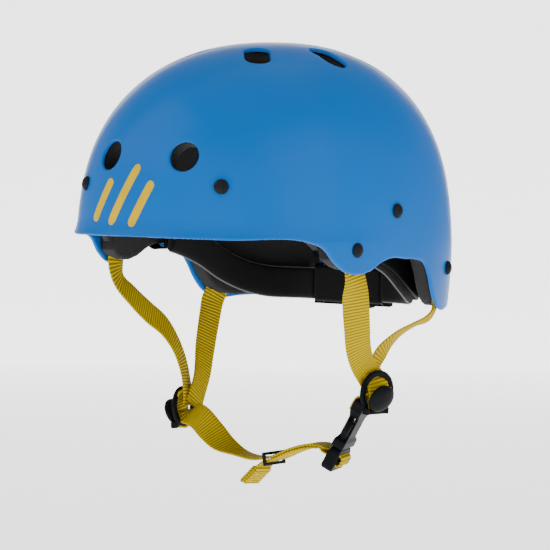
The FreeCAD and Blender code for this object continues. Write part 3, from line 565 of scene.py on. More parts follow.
SHELL = mottled("shell_plastic", (9.0, 4.0),
                [(0.3, (0.0, 0.112, 0.42)), (0.7, (0.0, 0.124, 0.46))], (60.0, 5.0),
                (0.27, 0.34), (900.0, 2.0), (0.02, 0.0002), Coat_Weight=0.03,
                Coat_Roughness=0.2, IOR=1.4, Specular_IOR_Level=0.1)
BUCKLE = black_plastic("buckle_plastic", 0.005, (0.34, 0.46))
CRADLE = black_plastic("cradle_plastic", 0.003, (0.4, 0.55))
RIVET = black_plastic("rivet_coating", 0.012, (0.25, 0.36), 2500.0)
FOAM = foam_material()
PAD = mottled("brushed_pad_fabric", (70.0, 4.0),
              [(0.3, (0.001, 0.001, 0.0012)), (0.8, (0.003, 0.003, 0.0035))], (70.0, 4.0),
              (0.8, 1.0), (1500.0, 3.0, 0.7), (0.5, 0.0005), Sheen_Weight=0.04,
              Sheen_Roughness=0.5, Specular_IOR_Level=0.2)
WEB = webbing_material()
RUBBER = black_plastic("keeper_rubber", 0.01, (0.55, 0.7), 2500.0)
STEEL = plain("brushed_steel", (0.55, 0.55, 0.56), 0.32, 1.0)
PIPING = plain("grey_piping", (0.13, 0.14, 0.15), 0.5)
MARK = plain("yellow_print", (0.7, 0.46, 0.0), 0.5)
THREAD = plain("yellow_thread", (0.8, 0.58, 0.02), 0.5)

NODE_MATERIALS = {"shell": SHELL, "foam": FOAM, "comfort_pad": PAD, "rivet": RIVET,
                  "steel": STEEL, "webbing": WEB, "buckle": BUCKLE, "keeper": RUBBER,
                  "cradle": CRADLE}
for entry in frame["record"]["subparts"]:
    mesh = frame["nodes"][entry["node"]].data
    material = NODE_MATERIALS[entry["material_slot"]]
    if not mesh.materials:
        mesh.materials.append(material)
    for k in range(len(mesh.materials)):
        mesh.materials[k] = material

# --- shell

CELL = 1.2


def shell_field(p):
    slab = np.abs(dome_distance(p) + WALL / 2) - WALL / 2
    cuts = np.maximum(np.maximum(rim_cut(p), arch_cut(p)), vent_cut(p))
    return round_corner(slab, cuts, WALL / 2 - 0.1)


shell = solid_from_field("shell", shell_field, (-121, -165, -57), (121, 136, 145), CELL, SHELL)
enter(shell, "helmet", ["outer_shell"])

# --- foam liner and pads

FOAM_NEAR, FOAM_FAR, PAD_NEAR, PAD_FAR = 3.3, 15.0, 15.3, 21.0
GAP, CROWN_SPLIT, FRONT_LINE, REAR_LINE, LOBE_LINE = 0.8, 78.0, -72.0, 25.0, 46.0
FOAM_CELL, FOAM_ROUND, PAD_ROUND = 2.2, 1.8, 2.8
RIM_GAP, ARCH_GAP, VENT_GAP, NAPE_RELIEF = 3.0, 0.5, 0.8, 3.6

# Rivets as (azimuth, level)
TEMPLE_RIVET, LOBE_RIVET, SIDE_RIVET = (64.4, -4.2), (122.6, -19.8), (85.0, 21.8)


def strap_channels():
    """Grooves in the foam behind each strap end and cradle hanger."""
    channels = []
    for (azimuth, level), half, low, high, depth in (
            (TEMPLE_RIVET, 11, -28, 16, 7.4), (LOBE_RIVET, 11.5, -34, 14, 7.4),
            (SIDE_RIVET, 7, -36, 10, 7.0)):
        for side in (1, -1):
            point = shell_point(side * azimuth, level)
            outward = shell_normal(point)
            across = unit(np.cross([0, 0, 1], outward))
            channels.append((point, outward, across, half, low, high, depth))
    return channels


CHANNELS = strap_channels()


def channel_cut(p):
    """Positive inside a channel."""
    best = np.full(len(p), FAR_OUT)
    for point, outward, across, half, low, high, depth in CHANNELS:
        offset = p - point
        rise = offset[:, 2]
        inside = np.minimum(half - np.abs(offset @ across), offset @ outward + depth)
        best = np.maximum(best, np.minimum(inside, np.minimum(rise - low, high - rise)))
    return best


def foam_field(walls):
    def field(p):
        outer = dome_distance(p, FOAM_NEAR)
        inner = -dome_distance(p, FOAM_FAR)
        low_rear = np.clip((-11 - p[:, 2]) / 6, 0, 1) * (np.abs(p[:, 0]) < 46) * (p[:, 1] > 60)
        inner = inner + NAPE_RELIEF * low_rear
        cuts = np.maximum(rim_cut(p, RIM_GAP), arch_cut(p, ARCH_GAP))
        cuts = np.maximum(np.maximum(cuts, vent_cut(p, VENT_GAP)), channel_cut(p))
        for axis, sign, place in walls:
            cuts = np.maximum(cuts, sign * (p[:, axis] - place))
        return round_corner(np.maximum(outer, inner), cuts, FOAM_ROUND)
    return field


def above(axis, place):
    return (axis, -1, place + GAP)


def below(axis, place):
    return (axis, 1, place - GAP)


FOAM_PIECES = {
    "crown_liner": ([above(2, CROWN_SPLIT)], (-90, -110, 70), (90, 95, 138)),
    "front_liner": ([below(1, FRONT_LINE), below(2, CROWN_SPLIT)],
                    (-95, -155, -5), (95, -68, 82)),
    "rear_liner": ([(0, -1, -LOBE_LINE + GAP), (0, 1, LOBE_LINE - GAP), above(1, REAR_LINE),
                    (2, -1, -21.0), below(2, CROWN_SPLIT)], (-50, 22, -25), (50, 126, 82)),
}
for side_name, side in (("left", 1), ("right", -1)):
    low_x, high_x = (-3, 112) if side > 0 else (-112, 3)
    FOAM_PIECES[side_name + "_side_liner"] = (
        [above(1, FRONT_LINE), below(1, REAR_LINE), below(2, CROWN_SPLIT),
         (0, -side, side * 5.0)],
        (low_x, -76, -24), (high_x, 29, 82))
    FOAM_PIECES[side_name + "_rear_liner"] = (
        [above(1, REAR_LINE), below(2, CROWN_SPLIT), (0, -side, side * (LOBE_LINE + GAP))],
        (low_x, 21, -53), (high_x, 118, 82))
for name, (walls, low, high) in FOAM_PIECES.items():
    piece = solid_from_field(name + "_foam", foam_field(walls), low, high, FOAM_CELL, FOAM)
    enter(piece, "helmet", [name])


def pad_field(box=None, disc=None):
    def field(p):
        layer = np.maximum(dome_distance(p, PAD_NEAR), -dome_distance(p, PAD_FAR))
        if disc:
            x, y, radius = disc
            edge = np.hypot(p[:, 0] - x, p[:, 1] - y) - radius
            edge = np.maximum(edge, 40 - p[:, 2])
        else:
            low, high = box
            apart = np.stack([np.maximum(low[k] - p[:, k], p[:, k] - high[k])
                              for k in range(3)])
            edge = apart.max(axis=0)
        return round_corner(layer, edge, PAD_ROUND)
    return field


PAD_PIECES = {
    "brow_pad": (pad_field(((-78, -220, 10), (78, -84, 40))), (-82, -142, 6), (82, -80, 44)),
    "rear_pad": (pad_field(((-34, 60, 0), (34, 220, 40))), (-38, 56, -4), (38, 116, 44)),
    "left_side_pad": (pad_field(((20, -58, 4), (220, 14, 34))), (70, -62, 0), (101, 18, 38)),
    "right_side_pad": (pad_field(((-220, -58, 4), (-20, 14, 34))),
                       (-101, -62, 0), (-70, 18, 38)),
    "crown_pad": (pad_field(disc=(0, -6, 36)), (-40, -46, 104), (40, 34, 126)),
}
for name, (field, low, high) in PAD_PIECES.items():
    piece = solid_from_field(name + "_cushion", field, low, high, FOAM_CELL, PAD)
    enter(piece, "helmet", [name])

# --- webbing

WEB_WIDTH, WEB_THICK = 19.0, 1.5


def strap_profile(width, thick, rounding=6):
    """Flat band with round edges, a little fuller at its two bound edges."""
    half, radius = width / 2, thick / 2
    flat = np.linspace(-half + radius, half - radius, 9)
    swell = 0.10 * np.exp(-((half - np.abs(flat)) / 1.2) ** 2)
    lower = np.column_stack([flat, -radius - swell])
    upper = np.column_stack([flat[::-1], radius + swell[::-1]])
    turn = np.linspace(-math.pi / 2, math.pi / 2, rounding + 2)[1:-1]
    right = np.column_stack([half - radius + radius * np.cos(turn), radius * np.sin(turn)])
    left = np.column_stack([-half + radius - radius * np.cos(turn), -radius * np.sin(turn)])
    return np.vstack([lower, right, upper, left])


RIBBON_STEP = 1.5


def ribbon_path(route):
    """Centres, width directions and face normals along a route; each station of the route
    has the three numbers of its point and then the three of its width direction."""
    stations = np.array([[*station[:3], *unit(station[3:])] for station in route])
    length = np.linalg.norm(np.diff(stations[:, :3], axis=0), axis=1).sum()
    table = smooth_line(stations, max(4, int(length / RIBBON_STEP)))
    centres = table[:, :3]
    run = unit(np.gradient(centres, axis=0))
    across = unit(table[:, 3:] - run * (table[:, 3:] * run).sum(axis=1)[:, None])
    return centres, across, np.cross(run, across)


def webbing(name, route, nodes, body, width=WEB_WIDTH, thick=WEB_THICK, material=WEB):
    piece = sweep(name, *ribbon_path(route), strap_profile(width, thick), material)
    enter(piece, body, nodes)


LEFT_FRONT = [
    (103.76, -52.22, 7.87, 0.156, 0.988, 0), (104.18, -49.8, -9.9, 0.14, 0.99, 0),
    (104.1, -46.86, -23.76, 0.128, 0.992, 0), (101.5, -42.5, -38, 0.58, 0.79, 0.15),
    (97.3, -34.5, -58, 0.57, 0.78, 0.24), (93.2, -27, -72, 0.5, 0.7, 0.4),
    (89.3, -17, -83, 0.4, 0.65, 0.6), (86.6, -6, -92, 0.3, 0.6, 0.7),
    (85.3, 1, -99, 0.2, 0.7, 0.65), (84.7, 5.5, -105, 0.15, 0.75, 0.6)]
LEFT_REAR = [
    (97.6, 65.19, -9.9, -0.363, 0.932, 0), (97.87, 62.79, -25.73, -0.343, 0.939, 0),
    (98.03, 58.94, -41.57, -0.314, 0.949, 0), (97.2, 55.5, -51, -0.55, 0.67, -0.5),
    (95.5, 45, -56.5, -0.82, 0.35, -0.44), (93, 31, -62, -0.8, 0.35, -0.48),
    (90, 18, -69, -0.6, 0.52, -0.6), (86.4, 9.5, -78, -0.28, 0.84, -0.46),
    (83, 5.5, -88, -0.22, 0.95, -0.2), (81.2, 4.5, -98, -0.2, 0.97, 0),
    (80.6, 3.6, -105, -0.2, 0.97, 0)]
RIGHT_FRONT = [
    (-103.91, -51.24, 7.88, -0.151, 0.989, 0), (-103.82, -52.25, -9.9, -0.151, 0.989, 0),
    (-103.2, -53.71, -21.78, -0.159, 0.987, 0), (-102.9, -51.5, -31, -0.3, 0.9, 0.2),
    (-100.3, -36.7, -46, -0.35, 0.6, 0.7), (-98.5, -22.5, -57, -0.3, 0.6, 0.7),
    (-96.2, -7.5, -67.5, -0.35, 0.65, 0.65), (-93.4, 2.5, -81, -0.4, 0.8, 0.4),
    (-90.5, 7.5, -95, -0.4, 0.9, 0.15), (-87.6, 8.5, -108, -0.4, 0.9, 0),
    (-85.6, 8, -118, -0.35, 0.9, 0), (-84.6, 7.5, -126, -0.3, 0.9, 0)]
RIGHT_REAR = [
    (-97.78, 64.71, -9.9, 0.358, 0.934, 0), (-98.3, 61.4, -27.7, 0.33, 0.944, 0),
    (-98.6, 56.8, -43.55, 0.295, 0.955, 0), (-99.6, 53.0, -51.5, 0.35, 0.9, -0.3),
    (-98.8, 49.5, -60.5, 0.3, 0.9, -0.3), (-96.5, 43.5, -73, 0.25, 0.9, -0.35),
    (-93, 36, -88, 0.2, 0.85, -0.45), (-88.5, 28.5, -101, 0.1, 0.8, -0.55),
    (-84.4, 20, -112, 0, 0.75, -0.65), (-82.4, 14, -119.5, 0, 0.75, -0.6),
    (-81.8, 9.5, -126.5, 0, 0.8, -0.5)]
BUCKLE_WAY = np.array([-0.45174799, -0.12517168, -0.88332089])
SIDE_WAY = np.array([-0.29855424, 0.95423283, 0.0174663])
FACE_WAY = np.array([0.84070751, 0.27160957, -0.4684433])
BUCKLE_CENTRE = np.array([69.7, -4.8, -134.5])


def buckle_point(along, across, out):
    return tuple(BUCKLE_CENTRE + along * BUCKLE_WAY + across * SIDE_WAY + out * FACE_WAY)


BUCKLE_LINK = [
    (87.4, 4.0, -93.0, -0.2, 0.97, 0), (86.6, 2.6, -99.5, -0.22, 0.97, 0),
    (84.6, 0.8, -105.5, -0.25, 0.96, 0), (*buckle_point(-30.5, 0, -1.6), *SIDE_WAY),
    (*buckle_point(-27.5, 0, -4.6), *SIDE_WAY), (*buckle_point(-23.5, 0, -5.2), *SIDE_WAY),
    (*buckle_point(-18, 0, -5.2), *SIDE_WAY)]
CHIN_STRAP = [
    (-84.5, 7.5, -129.5, 0.05, 0.9, 0.4), (-82.0, 5, -131, 0.1, 0.75, 0.6),
    (-74, 1.5, -131.5, 0.35, 0.5, 0.75), (-64, -3.5, -133.5, 0.5, 0.45, 0.75),
    (-52, -6.5, -141, 0.45, 0.65, 0.6), (-38, -9, -149.5, 0.3, 0.85, 0.3),
    (-22, -10, -154.8, 0.1, 1, 0), (-4, -10, -157, 0, 1, 0), (12, -10, -154.2, 0, 1, 0),
    (28, -9.5, -147.5, 0, 1, 0), (42, -8.5, -143.5, -0.1, 1, 0),
    (52, -7.5, -143.5, -0.15, 1, 0), (*buckle_point(15.6, 0, -5.4), *SIDE_WAY)]
CHIN_RETURN = [
    (-9.5, -13.0, -172.6, 0, 1, 0), (-1.9, -11.6, -164.9, 0, 1, 0),
    (1.8, -10.8, -160.9, 0, 1, 0), (6.5, -10, -157.8, 0, 1, 0), (12, -10, -156.3, 0, 1, 0),
    (28, -9.5, -149.6, 0, 1, 0), (42, -8.5, -145.6, -0.1, 1, 0),
    (52, -7.5, -145.6, -0.15, 1, 0), (*buckle_point(20.6, 0, -5.6), *SIDE_WAY)]

webbing("left_front_leg", LEFT_FRONT, ["left_front_strap"], "helmet")
webbing("left_rear_leg", LEFT_REAR, ["left_rear_strap"], "helmet")
webbing("right_front_leg", RIGHT_FRONT, ["right_front_strap_top", "right_front_strap"],
        ("helmet", "right_harness", (-103.1, -50.8, -32.0), (-98.9, -33.0, -50.0)))
webbing("right_rear_leg", RIGHT_REAR, ["right_rear_strap_top", "right_rear_strap"],
        ("helmet", "right_harness", (-99.2, 54.0, -47.0), (-98.0, 47.0, -66.0)))
webbing("buckle_link", BUCKLE_LINK, ["buckle_link_strap"], "helmet")
webbing("chin_web", CHIN_STRAP, ["chin_strap"], "right_harness")
webbing("chin_web_return", CHIN_RETURN, ["chin_strap_return"], "right_harness")


TAIL_START, TAIL_END = np.array([-1.0, -11.6, -163.9]), np.array([-10.6, -13.2, -173.6])
TAIL_RUN = unit(TAIL_END - TAIL_START)
TAIL_ACROSS = unit(np.array([0, 1.0, 0]) - TAIL_RUN * TAIL_RUN[1])
TAIL_FACE = np.cross(TAIL_RUN, TAIL_ACROSS)
TAIL_WIDTH, FOLD_REACH, FOLD_PITCH = 18.8, 0.9, 1.75


def folded_tail():
    """The strap's end, turned back on itself twice."""
    length = np.linalg.norm(TAIL_END - TAIL_START)
    bend = FOLD_PITCH / 2
    angles = [math.pi * k / 6 for k in range(7)]
    line = [(0, -FOLD_PITCH), (length / 2, -FOLD_PITCH)]
    line += [(length + FOLD_REACH * math.sin(a), -bend - bend * math.cos(a)) for a in angles]
    line += [(length / 2, 0)]
    line += [(-FOLD_REACH * math.sin(a), bend - bend * math.cos(a)) for a in angles]
    line += [(length / 2, FOLD_PITCH), (length, FOLD_PITCH)]
    centres = [TAIL_START + TAIL_RUN * a + TAIL_FACE * b for a, b in line]
    last = len(centres) - 1
    normals = [np.cross(unit(centres[min(k + 1, last)] - centres[max(k - 1, 0)]), TAIL_ACROSS)
               for k in range(last + 1)]
    piece = sweep("folded_tail", centres, np.tile(TAIL_ACROSS, (last + 1, 1)), normals,
                  strap_profile(TAIL_WIDTH, WEB_THICK), WEB)
    enter(piece, "right_harness", ["strap_tail"])


folded_tail()


def plug_loop(low, high, front, rear, bend):
    """Webbing round the plug's bar: two legs through the slots and a face over the bar."""
    line = [(low, rear), (low, front - bend)]
    line += [(low + bend - bend * math.cos(a), front - bend + bend * math.sin(a))
             for a in np.linspace(0.3, math.pi / 2, 4)]
    line += [(high - bend + bend * math.sin(a), front - bend + bend * math.cos(a))
             for a in np.linspace(0, math.pi / 2 - 0.3, 4)]
    line += [(high, front - bend), (high, rear)]
    route = np.array([buckle_point(along, 0, out) for along, out in line])
    step = unit(np.gradient(route, axis=0))
    over = np.tile(SIDE_WAY, (len(route), 1))
    piece = sweep("plug_loop", route, over, np.cross(step, over),
                  strap_profile(WEB_WIDTH, WEB_THICK), WEB)
    enter(piece, "right_harness", ["plug_webbing_loop"])


plug_loop(15.0, 22.4, 6.9, -5.0, 2.3)

# --- stitching

STITCH_RADIUS, STITCH_LENGTH, STITCH_PITCH = 0.32, 2.3, 3.0
LEG_BOX, TAIL_BOX, LEG_LIFT, TAIL_LIFT = (12, 13), (9, 14), WEB_THICK / 2 + 0.1, 2.6
# A stitch's rod: sides, and rows of (place along, share of the radius)
ROD_SIDES = 6
ROD_ROWS = [(-0.5, 0.0), (-0.42, 0.7), (-0.2, 1.0), (0.2, 1.0), (0.42, 0.7), (0.5, 0.0)]


def stitches(name, centres, normals, runs, body):
    """Short raised stitches, each a rounded rod lying on its cloth."""
    vertices, faces = [], []
    last = (len(ROD_ROWS) - 1) * ROD_SIDES
    for centre, normal, run in zip(centres, normals, runs):
        side_vector = np.cross(normal, run)
        base = len(vertices)
        for along, size in ROD_ROWS:
            radius = max(size, 0.05)
            for k in range(ROD_SIDES):
                angle = 2 * math.pi * k / ROD_SIDES
                vertices.append((centre + run * along * STITCH_LENGTH
                                 + side_vector * math.cos(angle) * STITCH_RADIUS * radius
                                 + normal * math.sin(angle) * STITCH_RADIUS * radius) * MM)
        faces += [(a, b, b + ROD_SIDES, a + ROD_SIDES)
                  for a, b in grid_corners(len(ROD_ROWS), ROD_SIDES, base)]
        faces.append(tuple(base + k for k in reversed(range(ROD_SIDES))))
        faces.append(tuple(base + last + k for k in range(ROD_SIDES)))
    enter(finish_mesh(name, vertices, faces, THREAD), body)


def stitched_box(origin, run, across, normal, size):
    """Stitch places round a rectangle and along both its diagonals."""
    half_run, half_across = size[0] / 2, size[1] / 2
    corners = [(-1, -1), (1, -1), (1, 1), (-1, 1)]
    lines = list(zip(corners, corners[1:] + corners[:1])) + [((-1, -1), (1, 1)),
                                                             ((1, -1), (-1, 1))]
    centres, normals, runs = [], [], []
    for start, end in lines:
        a = origin + run * start[0] * half_run + across * start[1] * half_across
        b = origin + run * end[0] * half_run + across * end[1] * half_across
        way = unit(b - a)
        count = max(2, int(np.linalg.norm(b - a) / STITCH_PITCH))
        for k in range(count):
            centres.append(a + (b - a) * (k + 0.5) / count)
            normals.append(normal)
            runs.append(way)
    return centres, normals, runs


def stitch_faces(name, centre, run, across, face, size, lift, body):
    """The same stitched box on both faces of a band."""
    for number, sign in enumerate((1, -1)):
        box = stitched_box(centre + sign * face * lift, run, across, sign * face, size)
        stitches(f"{name}_{number}", *box, body)


for name, route, share in (("left_front", LEFT_FRONT, 0.09), ("left_rear", LEFT_REAR, 0.09),
                           ("right_front", RIGHT_FRONT, 0.08),
                           ("right_rear", RIGHT_REAR, 0.08)):
    centres, across, normals = ribbon_path(route)
    k = int(share * (len(centres) - 1))
    stitch_faces(name + "_stitching", centres[k], np.cross(across[k], normals[k]), across[k],
                 normals[k], LEG_BOX, LEG_LIFT, "helmet")
stitch_faces("tail_stitching", (TAIL_START + TAIL_END) / 2, TAIL_RUN, TAIL_ACROSS, TAIL_FACE,
             TAIL_BOX, TAIL_LIFT, "right_harness")

# --- side-release buckle

BUCKLE_TURN = np.column_stack([BUCKLE_WAY, SIDE_WAY, FACE_WAY])
FINE_CELL = 0.5


def ease(value, low, high):
    share = np.clip((value - low) / (high - low), 0, 1)
    return share * share * (3 - 2 * share)


def socket_field(p):
    """Web bar, waist with a window on each side, and collar; the bay is open at the mouth."""
    along, across, out = p.T
    across = np.abs(across)
    waist = ease(along, -20.0, -12.5) - ease(along, 0.5, 4.5)
    collar = ease(along, 3.0, 5.0)
    sides = across - (13.5 - 4.9 * waist)
    ends = np.maximum(-27.4 - along, along - 10)
    hull = round_corner(round_corner(sides, ends, 2.0),
                        np.abs(out) - (4.3 - 0.7 * waist + 0.3 * collar), 1.2)
    inside = np.abs(out) - 2.6
    bay = np.maximum(np.maximum(across - 11.2, inside), -14 - along)
    window = np.maximum(np.maximum(6.5 - across, inside), np.abs(along + 5.2) - 7.4)
    slot = np.maximum(across - 10.2, np.abs(along + 22.2) - 2.2)
    return round_corner(hull, -np.minimum(np.minimum(bay, window), slot), 0.5)


def plug_field(p):
    """The plug's base, with two web slots and full rounded corners."""
    along, across, out = p.T
    across = np.abs(across)
    ends = np.maximum(10.4 - along, along - 27.5)
    swell = ease(along, 11.5, 15.0)
    hull = round_corner(round_corner(across - 12.9 - 0.5 * swell, ends, 3.4),
                        np.abs(out) - 4.0 - 0.5 * swell, 1.5)
    slots = np.minimum(np.abs(along - 15.7) - 1.7, np.abs(along - 21.7) - 1.7)
    return round_corner(hull, -np.maximum(across - 10.3, slots), 0.5)


def arm_field(side):
    def field(p):
        along, across, out = p.T
        bulge = np.exp(-((along + 4.5) / 4.2) ** 2)
        middle = side * across - 8.2 - 0.95 * bulge
        wide = np.abs(middle) - (2.6 + 0.95 * bulge - 0.8 * ease(-along, 7, 11))
        ends = np.maximum(-11 - along, along - 9.6)
        return round_corner(round_corner(wide, ends, 2.0), np.abs(out) - 2.25, 1.0)
    return field


for name, field, low, high, body, node in (
        ("socket", socket_field, (-29, -15, -6), (12, 15, 6), "helmet", "buckle_socket"),
        ("plug", plug_field, (9, -15, -6), (29, 15, 6), "right_harness", "buckle_plug"),
        ("front_arm", arm_field(-1), (-13, -15, -4), (11, -2, 4), "front_arm",
         "front_release_arm"),
        ("rear_arm", arm_field(1), (-13, 2, -4), (11, 15, 4), "rear_arm", "rear_release_arm")):
    part = solid_from_field("buckle_" + name, field, low, high, FINE_CELL, BUCKLE,
                            BUCKLE_CENTRE, BUCKLE_TURN)
    enter(part, body, [node])

# --- dividers and levers

UP = np.array([0, 0, 1.0])
DIVIDERS = {"left": (90.3, -0.6, -104.5), "right": (-88.8, 7, -127.5)}


def turned(name, origin, across, up, out, outline, material):
    """A turned solid; outline is (radius, height) from the lower centre to the upper."""
    segments, rows = 64, outline[1:-1]
    vertices = []
    for radius, height in rows:
        for k in range(segments):
            angle = 2 * math.pi * k / segments
            vertices.append((origin + radius * (across * math.cos(angle) + up * math.sin(angle))
                             + out * height) * MM)
    faces = [(a, b, b + segments, a + segments)
             for a, b in grid_corners(len(rows), segments)]
    for row, (_, height) in ((0, outline[0]), (len(rows) - 1, outline[-1])):
        centre = len(vertices)
        vertices.append((origin + out * height) * MM)
        for a, b in grid_corners(2, segments, row * segments):
            faces.append((centre, b, a) if row == 0 else (centre, a, b))
    return finish_mesh(name, vertices, faces, material)


LEVER_SHIFT, RING_RADIUS = 2.0, 13.3


def ring_field(shift):
    """Round-edged flat ring with two ears on its lowest bar."""
    def field(p):
        x, y, z = p.T
        ring = round_corner(np.abs(np.hypot(x, y) - RING_RADIUS) - 2.2, np.abs(z) - 1.6, 1.4)
        ears = np.abs(np.abs(x - shift) - 9.0) - 1.4
        ears = round_corner(ears, np.abs(y + RING_RADIUS - 0.9) - 2.3, 0.7)
        ears = round_corner(ears, np.abs(z - 2.6) - 2.6, 0.7)
        return np.minimum(ring, ears)
    return field


def divider(name, side, body):
    """The ring, and the lever's convex oval disc laid over its flat core."""
    centre = DIVIDERS[name]
    normal = unit([side * 0.97, -0.18, -0.1])
    across = unit(np.cross(UP, normal))
    upward = np.cross(normal, across)
    shift = -side * LEVER_SHIFT
    ring = solid_from_field(name + "_ring", ring_field(shift), (-17, -17, -3), (17, 17, 7),
                            FINE_CELL, BUCKLE, centre, np.column_stack([across, upward, normal]))
    enter(ring, body, [name + "_divider"])
    hinge = np.array(centre) - upward * RING_RADIUS + normal * 3.3 + across * shift
    rise = np.array([side * 0.42, 0, 0.91])
    rise = unit(rise - across * (rise @ across))
    face = np.cross(across, rise)
    origin = hinge + rise * 10.6 + face * 0.2
    outline = [(0, -1.5), (8.2, -1.5), (9.5, -1.25), (10.2, -0.5), (10.35, 0.2), (10.1, 1.0),
               (9.3, 1.9), (7.8, 2.75), (5.8, 3.35), (3.6, 3.7), (1.6, 3.85), (0, 3.9)]
    disc = turned(name + "_lever_disc", origin, across * 1.06, rise, face, outline, BUCKLE)
    enter(disc, name + "_lever")


def ring_webbing(name, side, body):
    """The stretch of webbing that crosses the ring's opening, under the lever."""
    centre = DIVIDERS[name]
    stations = ((-3.6, -1.6, 14.0), (-0.6, -0.8, 9.6), (1.5, -0.2, 3.0), (1.6, 0.4, -4.0),
                (0.4, 0.8, -9.4), (-2.6, 1.2, -14.5))
    route = [(centre[0] + side * out, centre[1] + along, centre[2] + rise,
              side * 0.18, 0.97, 0.1) for out, along, rise in stations]
    webbing(name + "_ring_webbing", route, [], body)


for make in (divider, ring_webbing):
    make("left", 1, "helmet")
    make("right", -1, "right_harness")

# --- cradle arms and pads

ARM_ROUTE = [
    (33, 93.6, -37, 0, 0, 1), (46, 93, -37, 0, 0, 1), (57, 89.5, -37, 0, 0, 1),
    (67, 81, -36.5, 0, 0.1, 1), (77, 65, -33, 0, 0.35, 1), (84.5, 45, -25, 0, 0.5, 1),
    (88.3, 22, -13, 0, 0.45, 1), (89.2, -6, -3.5, 0, 0.3, 1), (89.2, -14, -1.5, 0, 0.3, 1)]
HANGER_ROUTE = [(106.58, -9.63, 29.67), (107.31, -9.64, 9.95), (107.34, -9.65, -4.46),
                (103.5, -9.7, -9.9), (90.6, -9.7, -10.3)]
# The cushion's route is the arm's, moved in towards the head
PAD_SHIFT, SHIFT_WIDTH, SHIFT_DEPTH = 5.4, 90, 110
CUSHION_SIZE, PIPING_OFFSET, PIPING_RADIUS = (22, 6.2), 11.1, 0.6


def pad_profile(width, thick):
    """Cushion section: flat against the arm, full on the side towards the head."""
    turn = np.linspace(0, 2 * math.pi, 33)[:-1]
    wide = np.sign(np.cos(turn)) * np.abs(np.cos(turn)) ** 0.45 * width / 2
    deep = np.sign(np.sin(turn)) * np.abs(np.sin(turn)) ** 0.7 * thick / 2
    return np.column_stack([wide, deep])


def piping(name, line):
    """A thin round cord along an edge of the cushion."""
    run = unit(np.gradient(line, axis=0))
    side_vector = unit(np.cross(run, np.tile([0.13, 0.2, 0.97], (len(line), 1))))
    turn = np.linspace(0, 2 * math.pi, 9)[:-1]
    section = PIPING_RADIUS * np.column_stack([np.cos(turn), np.sin(turn)])
    piece = sweep(name, line, side_vector, np.cross(run, side_vector), section, PIPING)
    enter(piece, "helmet")


for side_name, side in (("left", 1), ("right", -1)):
    route = [(side * x, *rest) for x, *rest in ARM_ROUTE]
    webbing(side_name + "_arm_band", route, [side_name + "_cradle_arm"], "helmet",
            17, 2.2, CRADLE)
    inner = [(side * x * (1 - PAD_SHIFT / SHIFT_WIDTH),
              y - PAD_SHIFT * max(0, y) / SHIFT_DEPTH, *rest) for x, y, *rest in ARM_ROUTE]
    centres, across, normals = ribbon_path(inner)
    cushion = sweep(side_name + "_arm_cushion", centres, across, normals,
                    pad_profile(*CUSHION_SIZE), PAD)
    enter(cushion, "helmet", [side_name + "_cradle_pad"])
    for edge_name, edge in (("upper", PIPING_OFFSET), ("lower", -PIPING_OFFSET)):
        piping(f"{side_name}_{edge_name}_piping", centres + across * edge)
    hanger = [(side * x, y, z, 0, 1, 0) for x, y, z in HANGER_ROUTE]
    webbing(side_name + "_hanger_band", hanger, [side_name + "_cradle_hanger"], "helmet",
            12, 1.3, CRADLE)

softened("nape_pad", "nape_cushion", PAD, 2.4, 5)

# --- moulded parts

for node, width, material, slot in (
        ("left_divider_lever", 0.5, BUCKLE, "buckle"),
        ("right_divider_lever", 0.5, BUCKLE, "buckle"),
        ("plug_guide", 0.5, BUCKLE, "buckle"),
        ("strap_keeper", 0.6, RUBBER, "keeper"), ("nape_cradle", 0.5, CRADLE, "cradle"),
        ("adjuster_housing", 1.6, CRADLE, "cradle"), ("adjuster_knob", 0.9, CRADLE, "cradle")):
    softened(node, node + "_moulded", material, width)

# --- generic mark on the front

STRIPE_ROWS, STRIPE_COLUMNS = 40, 9
PRINT_LIFT, PRINT_THICKNESS = 0.06, 0.12


def surface_stripe(name, start, end, width):
    """A printed stripe on the shell between two (azimuth, level) places, round-ended."""
    start, end = np.array(start), np.array(end)
    line = np.array([shell_point(*(start + (end - start) * (k / (STRIPE_ROWS - 1))))
                     for k in range(STRIPE_ROWS)])
    run = unit(np.gradient(line, axis=0))
    vertices, faces = [], []
    for k in range(STRIPE_ROWS):
        normal = shell_normal(line[k])
        over = np.cross(normal, run[k])
        share = 2 * k / (STRIPE_ROWS - 1) - 1
        half = width / 2 * max(0.02, (1 - abs(share) ** 14)) ** 0.5
        for j in range(STRIPE_COLUMNS):
            spot = line[k] + over * half * (2 * j / (STRIPE_COLUMNS - 1) - 1)
            away = dome_distance(spot[None, :])[0]
            vertices.append((spot - normal * away + normal * PRINT_LIFT) * MM)
    for k in range(STRIPE_ROWS - 1):
        for j in range(STRIPE_COLUMNS - 1):
            a = k * STRIPE_COLUMNS + j
            faces.append((a, a + 1, a + STRIPE_COLUMNS + 1, a + STRIPE_COLUMNS))
    piece = finish_mesh(name, vertices, faces, MARK)
    thick = piece.modifiers.new("print", "SOLIDIFY")
    thick.thickness = PRINT_THICKNESS * MM
    thick.offset = 0
    apply_modifiers(piece)
    enter(piece, "helmet")


for number, (start, end, stripe) in enumerate((
        ((-15.5, 13.0), (-9.5, 42.0), 6.5), ((-9.0, 11.0), (-0.5, 52.0), 6.5),
        ((-2.0, 10.5), (4.5, 41.0), 6.5))):
    surface_stripe(f"front_stripe_{number}", start, end, stripe)

# --- stage, light and camera


def area_light(name, place, aim, size, power):
    data = bpy.data.lights.new(name, "AREA")
    data.shape = "RECTANGLE"
    data.size, data.size_y = size
    data.energy = power
    light = new_object(name, data)
    light.location = place
    light.rotation_euler = (Vector(aim) - Vector(place)).to_track_quat("-Z", "Y").to_euler()


